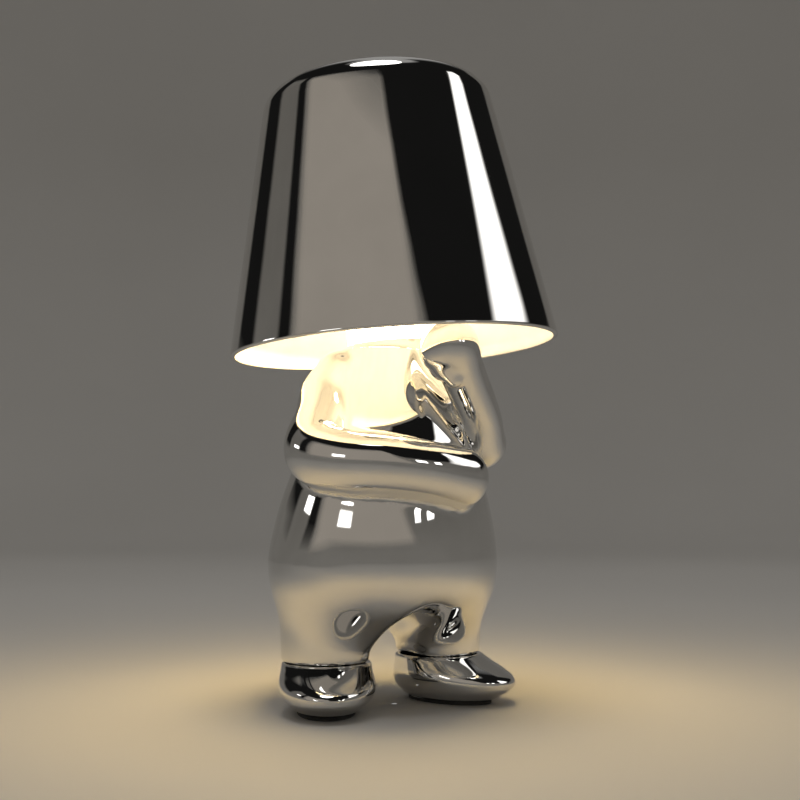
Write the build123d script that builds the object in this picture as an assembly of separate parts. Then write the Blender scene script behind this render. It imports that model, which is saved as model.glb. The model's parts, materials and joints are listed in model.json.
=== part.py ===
from build123d import *

import os
from math import asin, cos, degrees, pi, radians, sin, sqrt, tan

# Cordless table lamp: a plated standing figure wears the lampshade as its head.
# Millimetres, +Z up. The origin lies on the table under the centre of the shade's rim.
# The figure faces -Y, so its back, with the charging port and the button, is at +Y.

# Fits and cuts
CUT_OVERRUN = 2.0
SCREW_CLEARANCE = 0.1
RUNNING_CLEARANCE = 0.05
SLIP_CLEARANCE = 0.3
FLAT_GAP = 0.2

# Shade
SHADE_RIM_HEIGHT = 129.4
SHADE_TILT = 4.1
SHADE_TILT_HEADING = 159.0
SHADE_RIM_RADIUS = 60.9
SHADE_TOP_RADIUS = 41.9
SHADE_HEIGHT = 98.4
SHADE_CORNER_RADIUS = 9.2
SHADE_WALL = 1.2
SHADE_HEM_WALL = 2.0
SHADE_HEM_HEIGHT = 2.6
SHADE_EDGE_ROUND = 0.5

# Turning seat with a ring magnet, on top of the rod
SEAT_RADIUS = 13.0
SEAT_WEB = 3.0
SKIRT_WALL = 1.5
SKIRT_DROP = 3.5
KEEPER_THICKNESS = 1.5
MAGNET_RADIUS = 11.0
MAGNET_BORE = 5.6
MAGNET_THICKNESS = 3.0
SPIGOT_RADIUS = 3.0
CIRCLIP_GROOVE_DEPTH = 0.4
CIRCLIP_RADIUS = 4.6
CIRCLIP_THICKNESS = 0.8
CIRCLIP_GAP_WIDTH = 2.0
SPIGOT_TIP = 1.2
PIN_TAIL_RADIUS = 2.0
PIN_TAIL = 8.0
THRUST_WASHER_RADIUS = 8.0
THRUST_WASHER_THICKNESS = 1.0

# Light unit in the neck
ROD_RADIUS = 4.0
ROD_TAIL = 1.5
NECK_RADIUS = 17.5
NECK_TOP = 2.0
NECK_FLOOR = 5.0
NECK_WALL = 2.5
HEAT_SPREADER_THICKNESS = 5.0
LED_BOARD_EDGE_GAP = 0.5
LED_BOARD_THICKNESS = 1.6
LED_COUNT = 8
LED_SIZE = 3.0
LED_THICKNESS = 0.9
LED_EDGE_GAP = 2.9
NUT_WIDTH = 13.0
NUT_THICKNESS = 4.0
NECK_WASHER_RADIUS = 7.9
NECK_WASHER_THICKNESS = 0.8
DIFFUSER_WALL = 1.6
DIFFUSER_SETBACK = 0.3
DIFFUSER_SKIRT = 13.0
DIFFUSER_DOME = 19.0
DIFFUSER_FLAT_RADIUS = 8.0
DIFFUSER_DOME_SHARES = (0.6, 0.5)
DIFFUSER_NUT_RADIUS = 7.0
DIFFUSER_NUT_THICKNESS = 3.5
LEAD_HOLE_RADIUS = 1.9
LEAD_HOLE_OFFSET = 10.0

# Torso and legs
FIGURE_X = -3.2
FIGURE_Y = 3.0
BELLY_HEIGHT = 52.0
BELLY_RADIUS = 41.4
TORSO_DROP = 15.5
NECK_DROP = 2.0
CASTING_WALL = 3.0
LOWER_OUTLINE_SHARES = ((0.66, 1.0), (0.95, 1.0), (1.0, 0.62), (1.0, 0.0))
UPPER_OUTLINE_SHARES = ((1.0, 0.0), (1.0, 0.27), (0.69, 0.62), (0.455, 1.0))
LEG_RADIUS = 16.0
LEG_SPREAD = 23.0
KNEE_RADIUS = 17.2
KNEE_SPREAD = 22.2
KNEE_RISE_SHARE = 0.4
THIGH_RADIUS = 23.5
THIGH_SPREAD = 16.5
THIGH_TOP_SHARE = 0.86
HEM_HEIGHT = 17.0
HEM_ROUND = 1.2
LEG_WEB_LIFT = 7.0
LEG_WEB_THICKNESS = 5.0

# Feet: rows of height, centre, half length and half width
FOOT_HALF_LENGTH = 24.6
FOOT_HALF_WIDTH = 16.6
TOES_OUT = 24.0
FOOT_SECTION_SHARES = (
    (0.00, 0.24, 0.73, 0.66),
    (0.20, 0.27, 0.91, 0.88),
    (0.40, 0.30, 1.00, 1.00),
    (0.70, 0.20, 0.88, 1.00),
    (1.00, 0.04, 0.69, 0.985),
)
SOLE_THICKNESS = 1.2
SOLE_INSET = 0.8
SPIGOT_HEIGHT = 6.0
BALLAST_SKIN = 1.3
BALLAST_HEIGHT = 9.0
FOOT_SCREW_RADIUS = 2.0
FOOT_SCREW_HEAD_RADIUS = 4.0
FOOT_SCREW_HEAD = 3.0

# Arms: rows of sideways, forward and upward place along the limb, and its thickness there
SHOULDER_DROP = 11.0
ARM_RADIUS = 10.5
FOLDED_ARM_SHARES = (
    (-0.42, 0.04, 1.005, 0.86),
    (-0.56, 0.01, 0.940, 0.89),
    (-0.65, -0.11, 0.860, 0.96),
    (-0.79, -0.30, 0.765, 1.10),
    (-0.67, -0.61, 0.730, 1.08),
    (-0.44, -0.81, 0.720, 1.05),
    (-0.16, -0.91, 0.705, 1.02),
    (0.05, -0.92, 0.690, 1.04),
    (0.21, -0.90, 0.680, 1.07),
)
RAISED_UPPER_ARM_SHARES = (
    (0.50, 0.02, 1.005, 0.86),
    (0.66, -0.05, 0.930, 0.90),
    (0.75, -0.22, 0.855, 0.90),
    (0.73, -0.45, 0.795, 0.90),
)
RAISED_FOREARM_SHARES = (
    (0.70, -0.57, 0.800, 0.77),
    (0.62, -0.66, 0.860, 0.72),
    (0.48, -0.75, 0.920, 0.74),
    (0.31, -0.85, 0.990, 0.77),
    (0.11, -0.95, 1.070, 0.88),
)
LIMB_END_ANGLES = (28.0, 52.0, 72.0, 84.0)
DOWEL_RADIUS = 2.0
DOWEL_REACH = 5.0
FOLDED_DOWEL_SHARES = ((180.0, 0.74), (-102.0, 0.42))
RAISED_DOWEL_SHARES = ((0.0, 0.74), (-36.0, 0.53))

# Rear cover
BACK_ANGLE = 90.0
HATCH_WIDTH = 42.0
HATCH_HEIGHT = 53.0
HATCH_LIFT = 3.5
HATCH_CORNER = 12.0
HATCH_GAP = 0.25
LEDGE_WIDTH = 7.0
LEDGE_END = 6.0
LEDGE_THICKNESS = 2.2
COVER_SCREW_INSET = 2.9
COVER_SCREW_SPREAD = 12.0
COVER_SCREW_RADIUS = 1.2
COVER_SCREW_HEAD_RADIUS = 2.1
COVER_SCREW_HEAD = 1.3

# Control board behind the rear cover, with the port, the light pipe and the switch
BOARD_HALF_WIDTH = 13.0
BOARD_HEIGHT = 33.0
BOARD_DROP = 8.5
BOARD_MARGIN = 2.4
BOARD_THICKNESS = 1.6
BOARD_POST_RADIUS = 2.6
BOARD_POST_INSET = 2.8
POST_CUTBACK = 1.0
BOARD_SCREW_RADIUS = 1.1
BOARD_SCREW_HEAD_RADIUS = 2.0
BOARD_SCREW_HEAD = 1.5
BOARD_SCREW_REACH = 4.0
PORT_OFFSET = -12.0
PORT_WIDTH = 9.0
PORT_HEIGHT = 3.3
PORT_CORNER = 1.3
PORT_SHELL = 0.3
PORT_MOUTH_DEPTH = 6.2
PORT_TONGUE_WIDTH = 6.6
PORT_TONGUE_THICKNESS = 0.7
PORT_TONGUE_SETBACK = 0.8
PORT_SETBACK = 0.5
PIPE_OFFSET = -4.5
PIPE_RADIUS = 1.4
PIPE_PROUD = 0.3
BUTTON_OFFSET = 5.5
BUTTON_RADIUS = 5.0
BUTTON_PROUD = 1.2
BUTTON_ROUND = 0.8
BUTTON_LIP = 1.4
BUTTON_FLANGE = 1.4
BUTTON_COLLAR_WALL = 2.2
BUTTON_TRAVEL = 0.8
SWITCH_SIDE = 6.2
SWITCH_HEIGHT = 3.0
PLUNGER_RADIUS = 1.6
PLUNGER_PROUD = 1.2
PLUNGER_TAIL = 1.0
CONNECTOR_WIDTH = 7.0
CONNECTOR_HEIGHT = 5.0
CONNECTOR_DEPTH = 5.5
CONNECTOR_OFFSET = 6.5

# Battery and its cradle
CELL_RADIUS = 9.2
CELL_HEADROOM = 41.2
CELL_CAP_RADIUS = 3.2
CELL_CAP = 1.2
CELL_FORWARD = 3.0
CRADLE_FLOOR = 2.5
CRADLE_EDGE = 1.0
CLIP_WALL = 2.0
CLIP_HEIGHT = 8.0
CLIP_RISE_SHARES = (0.2, 0.68)
CLIP_MOUTH = 15.0
SPINE_HALF_WIDTH = 6.0
SPINE_THICKNESS = 2.4
BRIDGE_THICKNESS = 2.4
CONTACT_THICKNESS = 0.8
CONTACT_RADIUS = 7.0
CONTACT_TAB_WIDTH = 4.0
CONTACT_TAB_REACH = 11.5
CRADLE_SCREW_RADIUS = 1.2
CRADLE_SCREW_HEAD_RADIUS = 2.2
CRADLE_SCREW_HEAD = 1.4
CRADLE_SCREW_BITE = 2.2
CRADLE_SCREW_EDGE = 3.0
CRADLE_SCREW_GAP = 0.6

# Leads: the middle points of each route, in the torso's frame
LEAD_RADIUS = 0.7
LEAD_PITCH = 1.7
LEAD_BEND_SHARE = 0.45
LEAD_STRAIGHT = 6.0
PLUS_LEAD_ROUTE = ((-19.5, 6.0, 32.0), (-15.5, 12.0, 23.0))
MINUS_LEAD_ROUTE = ((-19.0, 6.0, -1.0), (-13.0, 11.5, 6.5))
LED_LEAD_ROUTE = ((8.0, 11.5, 22.0), (8.0, 11.0, 36.0), (3.0, 11.5, 50.0))


def head_direction():
    """Return the direction of the shade's tilted axis."""
    tilt = radians(SHADE_TILT)
    heading = radians(SHADE_TILT_HEADING)
    return Vector(sin(tilt) * cos(heading), sin(tilt) * sin(heading), cos(tilt))


# The shade's frame starts at the centre of its rim, and the torso's at the middle of the belly
RIM_CENTRE = Vector(0, 0, SHADE_RIM_HEIGHT)
BELLY_CENTRE = Vector(FIGURE_X, FIGURE_Y, BELLY_HEIGHT)
HEAD = Plane(origin=RIM_CENTRE, x_dir=(1, 0, 0), z_dir=head_direction())
TORSO = Plane(origin=BELLY_CENTRE, x_dir=(1, 0, 0), z_dir=RIM_CENTRE - BELLY_CENTRE)
TORSO_RISE = (RIM_CENTRE - BELLY_CENTRE).length - NECK_DROP
SHOULDER_HEIGHT = SHADE_RIM_HEIGHT - SHOULDER_DROP

# Heights in the shade's frame
POCKET_FLOOR = NECK_TOP - HEAT_SPREADER_THICKNESS - LED_BOARD_THICKNESS
POCKET_RADIUS = NECK_RADIUS - NECK_WALL
NECK_UNDERSIDE = POCKET_FLOOR - NECK_FLOOR
ROD_BOTTOM = NECK_UNDERSIDE - NECK_WASHER_THICKNESS - NUT_THICKNESS - ROD_TAIL
DIFFUSER_RADIUS = NECK_RADIUS - DIFFUSER_SETBACK
DIFFUSER_TOP = NECK_TOP + DIFFUSER_SKIRT + DIFFUSER_DOME
SHADE_CEILING = SHADE_HEIGHT - SHADE_WALL
SEAT_TOP = SHADE_CEILING - KEEPER_THICKNESS
SEAT_FLOOR = SEAT_TOP - MAGNET_THICKNESS
SEAT_BOTTOM = SEAT_FLOOR - SEAT_WEB
ROD_SHOULDER = SEAT_BOTTOM - THRUST_WASHER_THICKNESS
CIRCLIP_LOW = SEAT_FLOOR + FLAT_GAP
CIRCLIP_HIGH = CIRCLIP_LOW + CIRCLIP_THICKNESS
CIRCLIP_BORE = SPIGOT_RADIUS - CIRCLIP_GROOVE_DEPTH

# Heights in the torso's frame
TORSO_FLOOR = CASTING_WALL - TORSO_DROP
CELL_LENGTH = TORSO_RISE + TORSO_DROP - CELL_HEADROOM
HATCH_CENTRE = TORSO_FLOOR + HATCH_LIFT + HATCH_HEIGHT / 2
BOARD_CENTRE = HATCH_CENTRE - BOARD_DROP
PORT_RISE = BOARD_CENTRE + PORT_OFFSET
PIPE_RISE = BOARD_CENTRE + PIPE_OFFSET
BUTTON_RISE = BOARD_CENTRE + BUTTON_OFFSET
CELL_BOTTOM = TORSO_FLOOR + CRADLE_FLOOR + CONTACT_THICKNESS
CELL_TOP = CELL_BOTTOM + CELL_LENGTH
CAP_TOP = CELL_TOP + CELL_CAP
BRIDGE_UNDERSIDE = CAP_TOP + CONTACT_THICKNESS

# Places in the legs and on the torso's floor
LEG_TOP = BELLY_HEIGHT * THIGH_TOP_SHARE
KNEE_HEIGHT = HEM_HEIGHT + (LEG_TOP - HEM_HEIGHT) * KNEE_RISE_SHARE
CRADLE_HALF_WIDTH = LEG_SPREAD - LEG_RADIUS + CASTING_WALL - CRADLE_EDGE
SPINE_FACE = CELL_RADIUS + SLIP_CLEARANCE - CELL_FORWARD
CRADLE_END = CRADLE_SCREW_GAP + CRADLE_SCREW_HEAD_RADIUS + CRADLE_SCREW_EDGE
CRADLE_FRONT = -CELL_FORWARD - CELL_RADIUS - CRADLE_END
CRADLE_BACK = SPINE_FACE + SPINE_THICKNESS + CRADLE_END


def disc(radius, low, high):
    """Make an upright cylinder between two heights."""
    solid = Cylinder(radius, high - low, align=(Align.CENTER, Align.CENTER, Align.MIN))
    return Pos(0, 0, low) * solid


def ring(outer, inner, low, high):
    """Make an upright ring between two heights."""
    return disc(outer, low, high) - disc(inner, low - CUT_OVERRUN, high + CUT_OVERRUN)


def block(low, high):
    """Make a box between its lowest and highest corners."""
    size = [b - a for a, b in zip(low, high)]
    return Pos(*low) * Box(*size, align=(Align.MIN, Align.MIN, Align.MIN))


def rearward(x, z, depth):
    """Return a frame in the torso that looks straight back from the given depth."""
    return Plane(origin=(x, depth, z), x_dir=(1, 0, 0), z_dir=(0, 1, 0))


def back_pin(radius, x, z, low, high):
    """Make a cylinder that runs straight back between two depths in the torso."""
    return rearward(x, z, low) * disc(radius, 0, high - low)


def radial_pin(radius, angle, height, low, high):
    """Make a cylinder that runs outward from the torso's axis."""
    heading = radians(angle)
    outward = Vector(cos(heading), sin(heading), 0)
    frame = Plane(origin=outward * low + Vector(0, 0, height), x_dir=(0, 0, 1), z_dir=outward)
    return frame * disc(radius, 0, high - low)


def largest(shape):
    """Return the biggest solid of a shape."""
    return max(shape.solids(), key=lambda solid: solid.volume)


def torso_outline(inset):
    """Return the control points of the lower and the upper half of the torso's outline."""
    radius = BELLY_RADIUS - inset
    drop = TORSO_DROP - inset
    rise = TORSO_RISE - inset
    lower = [(radius * across, -drop * down) for across, down in LOWER_OUTLINE_SHARES]
    upper = [(radius * across, rise * up) for across, up in UPPER_OUTLINE_SHARES]
    return lower, upper


def torso_form(inset):
    """Turn the torso's outline, moved in by the inset, about the torso's axis."""
    lower, upper = torso_outline(inset)
    bottom = (0, 0, lower[0][1])
    top = (0, 0, upper[-1][1])
    edges = [
        Line(bottom, (lower[0][0], 0, lower[0][1])),
        Bezier(*[(r, 0, z) for r, z in lower]),
        Bezier(*[(r, 0, z) for r, z in upper]),
        Line((upper[-1][0], 0, upper[-1][1]), top),
        Line(top, bottom),
    ]
    return revolve(make_face(edges), Axis.Z)


def bezier_value(values, share):
    """Return one coordinate of a cubic curve at a share of its parameter."""
    rest = 1 - share
    weights = (rest**3, 3 * rest**2 * share, 3 * rest * share**2, share**3)
    return sum(weight * value for weight, value in zip(weights, values))


def torso_radius(height, inset=0):
    """Return the torso's radius at a height in its own frame."""
    lower, upper = torso_outline(inset)
    points = lower if height < 0 else upper
    low, high = 0, 1
    for _ in range(50):
        middle = (low + high) / 2
        if bezier_value([z for _, z in points], middle) < height:
            low = middle
        else:
            high = middle
    return bezier_value([r for r, _ in points], low)


# Depths in the torso's frame, from the curve of the cover's inside
BOARD_TOP_RADIUS = torso_radius(BOARD_CENTRE + BOARD_HEIGHT / 2, CASTING_WALL)
BOARD_FACE = sqrt(BOARD_TOP_RADIUS**2 - BOARD_HALF_WIDTH**2) - BOARD_MARGIN
BOARD_FRONT = BOARD_FACE - BOARD_THICKNESS
SWITCH_FACE = BOARD_FACE + SWITCH_HEIGHT
BUTTON_BACK = SWITCH_FACE + PLUNGER_PROUD
FLANGE_FACE = BUTTON_BACK + BUTTON_FLANGE


def leg_form(side):
    """Make one leg's outer form, which leans in and thickens up to the belly."""
    rows = (
        (LEG_SPREAD, HEM_HEIGHT, LEG_RADIUS),
        (KNEE_SPREAD, KNEE_HEIGHT, KNEE_RADIUS),
        (THIGH_SPREAD, LEG_TOP, THIGH_RADIUS),
    )
    sections = []
    for spread, height, radius in rows:
        sections.append(Pos(FIGURE_X + side * spread, FIGURE_Y, height) * Circle(radius))
    leg = loft(sections)
    return fillet(leg.edges().sort_by(Axis.Z)[0], HEM_ROUND)


def leg_bore(side):
    """Make the straight bore through one leg, from under the hem up into the torso."""
    bore = disc(LEG_RADIUS - CASTING_WALL, HEM_HEIGHT - CUT_OVERRUN, LEG_TOP)
    return Pos(FIGURE_X + side * LEG_SPREAD, FIGURE_Y, 0) * bore


def figure_form():
    """Make the solid outer form of torso and neck."""
    return TORSO * torso_form(0) + HEAD * disc(NECK_RADIUS, NECK_UNDERSIDE, NECK_TOP)


def leg(side, form):
    """Make one leg: bored, with a web for the foot's screw, and cut to the torso's underside."""
    casting = leg_form(side) - leg_bore(side) - form
    low = HEM_HEIGHT + LEG_WEB_LIFT
    web = disc(LEG_RADIUS - CASTING_WALL / 2, low, low + LEG_WEB_THICKNESS)
    web -= disc(FOOT_SCREW_RADIUS + RUNNING_CLEARANCE, low, low + LEG_WEB_THICKNESS)
    return largest(casting + Pos(FIGURE_X + side * LEG_SPREAD, FIGURE_Y, 0) * web)


def hatch_prism(growth):
    """Make the prism that cuts the rear opening, grown on every side."""
    width = HATCH_WIDTH + 2 * growth
    height = HATCH_HEIGHT + 2 * growth
    outline = RectangleRounded(width, height, HATCH_CORNER + growth)
    return extrude(rearward(0, HATCH_CENTRE, 0) * outline, BELLY_RADIUS + CUT_OVERRUN)


def ledge_rails():
    """Make the two rails beside the rear opening that the cover's screws bite into."""
    band = torso_form(CASTING_WALL) - torso_form(CASTING_WALL + LEDGE_THICKNESS)
    inner = HATCH_WIDTH / 2 - LEDGE_WIDTH
    outer = HATCH_WIDTH / 2 + LEDGE_WIDTH
    low = HATCH_CENTRE - COVER_SCREW_SPREAD - LEDGE_END
    high = HATCH_CENTRE + COVER_SCREW_SPREAD + LEDGE_END
    edges = ((-outer, -inner), (inner, outer))
    return [band & block((a, 0, low), (b, BELLY_RADIUS, high)) for a, b in edges]


def cover_screw_places():
    """Return the angle and height of each screw of the rear cover."""
    places = []
    for height in (HATCH_CENTRE - COVER_SCREW_SPREAD, HATCH_CENTRE + COVER_SCREW_SPREAD):
        sideways = HATCH_WIDTH / 2 - COVER_SCREW_INSET
        turn = degrees(asin(sideways / torso_radius(height)))
        places += [(BACK_ANGLE - turn, height), (BACK_ANGLE + turn, height)]
    return places


def cover_screw_seat(height):
    """Return how far from the axis a cover screw's head bears."""
    return torso_radius(height + COVER_SCREW_HEAD_RADIUS) - COVER_SCREW_HEAD


def cover_screw_tip(height):
    """Return how far from the axis a cover screw ends."""
    return torso_radius(height, CASTING_WALL + LEDGE_THICKNESS) + FLAT_GAP


def cover_screws():
    """Make the screws that hold the rear cover."""
    screws = []
    for angle, height in cover_screw_places():
        seat = cover_screw_seat(height)
        tip = cover_screw_tip(height)
        head = radial_pin(COVER_SCREW_HEAD_RADIUS, angle, height, seat, seat + COVER_SCREW_HEAD)
        screws.append(head + radial_pin(COVER_SCREW_RADIUS, angle, height, tip, seat))
    return screws


def cover_screw_holes():
    """Make the cuts that the cover screws need."""
    cuts = []
    for angle, height in cover_screw_places():
        seat = cover_screw_seat(height)
        top = BELLY_RADIUS + CUT_OVERRUN
        bore = COVER_SCREW_RADIUS + SCREW_CLEARANCE
        low = cover_screw_tip(height) - CUT_OVERRUN
        cuts.append(radial_pin(bore, angle, height, low, top))
        cuts.append(radial_pin(COVER_SCREW_HEAD_RADIUS + SCREW_CLEARANCE, angle, height, seat, top))
    return cuts


def board_screw_places():
    """Return the sideways place and height of each screw of the control board."""
    across = BOARD_HALF_WIDTH - BOARD_POST_INSET
    up = BOARD_HEIGHT / 2 - BOARD_POST_INSET
    return [(x, BOARD_CENTRE + z) for x in (-across, across) for z in (-up, up)]


def cradle_screw_depths():
    """Return where the cradle's screws stand, from front to back."""
    return CRADLE_FRONT + CRADLE_SCREW_EDGE, CRADLE_BACK - CRADLE_SCREW_EDGE


def limb(rows):
    """Loft a limb with round ends through its rows of places and thicknesses."""
    centres = []
    radii = []
    for sideways, forward, up, thickness in rows:
        x = FIGURE_X + BELLY_RADIUS * sideways
        y = FIGURE_Y + BELLY_RADIUS * forward
        centres.append(Vector(x, y, SHOULDER_HEIGHT * up))
        radii.append(ARM_RADIUS * thickness)
    tangents = [(b - a).normalized() for a, b in zip(centres, centres[2:])]
    first = (centres[1] - centres[0]).normalized()
    last = (centres[-1] - centres[-2]).normalized()
    tangents = [first] + tangents + [last]
    stations = list(zip(centres, tangents, radii))
    for angle in LIMB_END_ANGLES:
        slim = cos(radians(angle))
        out = sin(radians(angle))
        stations.insert(0, (centres[0] - first * radii[0] * out, first, radii[0] * slim))
        stations.append((centres[-1] + last * radii[-1] * out, last, radii[-1] * slim))
    across = first.cross(Vector(0, 1, 0)).normalized()
    sections = []
    for centre, tangent, radius in stations:
        across = (across - tangent * across.dot(tangent)).normalized()
        sections.append(Plane(origin=centre, x_dir=across, z_dir=tangent) * Circle(radius))
    return loft(sections)


def arm_dowel(angle, rise_share, clearance=0):
    """Make one dowel across the joint between an arm and the torso."""
    height = TORSO_RISE * rise_share
    low = torso_radius(height, CASTING_WALL) + FLAT_GAP
    high = torso_radius(height) + DOWEL_REACH
    return radial_pin(DOWEL_RADIUS + clearance, angle, height, low, high + clearance)


def arm_dowels():
    """Make the dowels of both arms."""
    rows = FOLDED_DOWEL_SHARES + RAISED_DOWEL_SHARES
    return [TORSO * arm_dowel(angle, rise) for angle, rise in rows]


def dowel_holes(rows):
    """Make the holes for one arm's dowels."""
    return [TORSO * arm_dowel(angle, rise, RUNNING_CLEARANCE) for angle, rise in rows]


def torso_casting(form):
    """Hollow the figure's form and give it its ledge and holes."""
    hollow = TORSO * torso_form(CASTING_WALL)
    hollow += [leg_bore(side) for side in (-1, 1)]
    casting = form - hollow
    neck_floor = HEAD * disc(BELLY_RADIUS, NECK_UNDERSIDE, POCKET_FLOOR)
    casting += neck_floor & (TORSO * torso_form(CASTING_WALL / 2))
    casting -= HEAD * disc(POCKET_RADIUS, POCKET_FLOOR, NECK_TOP + CUT_OVERRUN)
    casting -= HEAD * lead_hole(NECK_UNDERSIDE, POCKET_FLOOR)
    casting -= HEAD * disc(ROD_RADIUS + SCREW_CLEARANCE, NECK_UNDERSIDE - CUT_OVERRUN, NECK_TOP)
    casting -= TORSO * hatch_prism(0)
    casting += [TORSO * rail for rail in ledge_rails()]
    casting -= [TORSO * cut for cut in cover_screw_holes()]
    casting -= dowel_holes(FOLDED_DOWEL_SHARES + RAISED_DOWEL_SHARES)
    bore = CRADLE_SCREW_RADIUS + RUNNING_CLEARANCE
    for depth in cradle_screw_depths():
        low = TORSO_FLOOR - CRADLE_SCREW_BITE - FLAT_GAP
        casting -= TORSO * Pos(0, depth, 0) * disc(bore, low, TORSO_FLOOR + CUT_OVERRUN)
    return largest(casting)


def foot_frame(side):
    """Return the frame of one foot: X points to the toe."""
    heading = radians(TOES_OUT)
    toe = (side * sin(heading), -cos(heading), 0)
    return Plane(origin=(FIGURE_X + side * LEG_SPREAD, FIGURE_Y, 0), x_dir=toe, z_dir=(0, 0, 1))


def foot_outline(row, height):
    """Return the oval of one row of the foot."""
    _, centre, length, width = row
    oval = Ellipse(FOOT_HALF_LENGTH * length, FOOT_HALF_WIDTH * width)
    return Pos(FOOT_HALF_LENGTH * centre, 0, height) * oval


def ballast_radius():
    """Return the radius of the steel slug in a foot."""
    return FOOT_HALF_WIDTH * FOOT_SECTION_SHARES[0][3] - BALLAST_SKIN


def foot():
    """Make one foot in its own frame."""
    sections = []
    for row in FOOT_SECTION_SHARES:
        height = SOLE_THICKNESS + (HEM_HEIGHT - SOLE_THICKNESS) * row[0]
        sections.append(foot_outline(row, height))
    body = loft(sections)
    spigot = LEG_RADIUS - CASTING_WALL - SLIP_CLEARANCE
    body += disc(spigot, HEM_HEIGHT - CUT_OVERRUN, HEM_HEIGHT + SPIGOT_HEIGHT)
    pocket = ballast_radius() + SCREW_CLEARANCE
    body -= disc(pocket, SOLE_THICKNESS - CUT_OVERRUN, SOLE_THICKNESS + BALLAST_HEIGHT)
    top = HEM_HEIGHT + SPIGOT_HEIGHT + CUT_OVERRUN
    return body - disc(FOOT_SCREW_RADIUS + SCREW_CLEARANCE, SOLE_THICKNESS, top)


def ballast():
    """Make the steel slug that weighs one foot down."""
    slug = disc(ballast_radius(), SOLE_THICKNESS, SOLE_THICKNESS + BALLAST_HEIGHT)
    seat = SOLE_THICKNESS + FOOT_SCREW_HEAD + FLAT_GAP
    slug -= disc(FOOT_SCREW_HEAD_RADIUS + SCREW_CLEARANCE, SOLE_THICKNESS - CUT_OVERRUN, seat)
    top = SOLE_THICKNESS + BALLAST_HEIGHT + CUT_OVERRUN
    return slug - disc(FOOT_SCREW_RADIUS + SCREW_CLEARANCE, SOLE_THICKNESS, top)


def foot_screw():
    """Make the screw that draws one foot up against its leg."""
    low = SOLE_THICKNESS + FLAT_GAP
    tip = HEM_HEIGHT + LEG_WEB_LIFT + LEG_WEB_THICKNESS - FLAT_GAP
    head = disc(FOOT_SCREW_HEAD_RADIUS, low, low + FOOT_SCREW_HEAD)
    return head + disc(FOOT_SCREW_RADIUS, low, tip)


def sole():
    """Make the rubber pad under one foot."""
    _, centre, length, width = FOOT_SECTION_SHARES[0]
    half_length = FOOT_HALF_LENGTH * length - SOLE_INSET
    half_width = FOOT_HALF_WIDTH * width - SOLE_INSET
    pad = extrude(Ellipse(half_length, half_width), SOLE_THICKNESS)
    return Pos(FOOT_HALF_LENGTH * centre, 0, 0) * pad


def both_feet(piece):
    """Put a copy of a foot's piece under each leg."""
    return [foot_frame(side) * piece for side in (-1, 1)]


def rear_cover():
    """Make the rear cover with its posts, collar and openings."""
    shell = torso_form(0) - torso_form(CASTING_WALL)
    cover = shell & hatch_prism(-HATCH_GAP)
    reach = BELLY_RADIUS
    stems = [back_pin(BOARD_POST_RADIUS, x, z, BOARD_FACE, reach) for x, z in board_screw_places()]
    collar_radius = BUTTON_RADIUS + SLIP_CLEARANCE + BUTTON_COLLAR_WALL
    stems.append(back_pin(collar_radius, 0, BUTTON_RISE, FLANGE_FACE + FLAT_GAP, reach))
    for stem in stems:
        cover += stem & torso_form(POST_CUTBACK)
    far = reach + CUT_OVERRUN
    cover -= back_pin(BUTTON_RADIUS + SLIP_CLEARANCE, 0, BUTTON_RISE, FLANGE_FACE, far)
    cover -= back_pin(PIPE_RADIUS + RUNNING_CLEARANCE, 0, PIPE_RISE, BOARD_FACE, far)
    slot = port_outline(SLIP_CLEARANCE)
    cover -= extrude(rearward(0, PORT_RISE, BOARD_FACE) * slot, far - BOARD_FACE)
    bore = BOARD_SCREW_RADIUS + RUNNING_CLEARANCE
    for x, z in board_screw_places():
        cover -= back_pin(bore, x, z, BOARD_FACE, BOARD_FACE + BOARD_SCREW_REACH + FLAT_GAP)
    return largest(cover - cover_screw_holes())


def port_outline(growth):
    """Return the outline of the charging port, grown on every side."""
    width = PORT_WIDTH + 2 * growth
    return RectangleRounded(width, PORT_HEIGHT + 2 * growth, PORT_CORNER + growth)


def charging_port():
    """Make the charging port: a shell with its mouth and its tongue."""
    mouth = torso_radius(PORT_RISE) - PORT_SETBACK
    depth = mouth - BOARD_FACE
    body = extrude(rearward(0, PORT_RISE, BOARD_FACE) * port_outline(0), depth)
    well = rearward(0, PORT_RISE, mouth - PORT_MOUTH_DEPTH) * port_outline(-PORT_SHELL)
    body -= extrude(well, PORT_MOUTH_DEPTH + CUT_OVERRUN)
    tongue = Rectangle(PORT_TONGUE_WIDTH, PORT_TONGUE_THICKNESS)
    tongue = rearward(0, PORT_RISE, BOARD_FACE) * tongue
    return body + extrude(tongue, depth - PORT_TONGUE_SETBACK)


def light_pipe():
    """Make the clear rod that brings the charging light to the cover."""
    return back_pin(PIPE_RADIUS, 0, PIPE_RISE, BOARD_FACE, torso_radius(PIPE_RISE) + PIPE_PROUD)


def power_button():
    """Make the push button with its retaining flange."""
    front = torso_radius(BUTTON_RISE) + BUTTON_PROUD
    cap = disc(BUTTON_RADIUS, 0, front - BUTTON_BACK)
    rim = cap.edges().filter_by(GeomType.CIRCLE).sort_by(Axis.Z)[-1]
    cap = fillet(rim, BUTTON_ROUND)
    cap += disc(BUTTON_RADIUS + BUTTON_LIP, 0, BUTTON_FLANGE)
    return rearward(0, BUTTON_RISE, BUTTON_BACK) * cap


def switch_tail():
    """Return the depth of the plunger's inner end."""
    return SWITCH_FACE - PLUNGER_TAIL


def switch_plunger():
    """Make the plunger that the button pushes."""
    return back_pin(PLUNGER_RADIUS, 0, BUTTON_RISE, switch_tail(), BUTTON_BACK)


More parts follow.
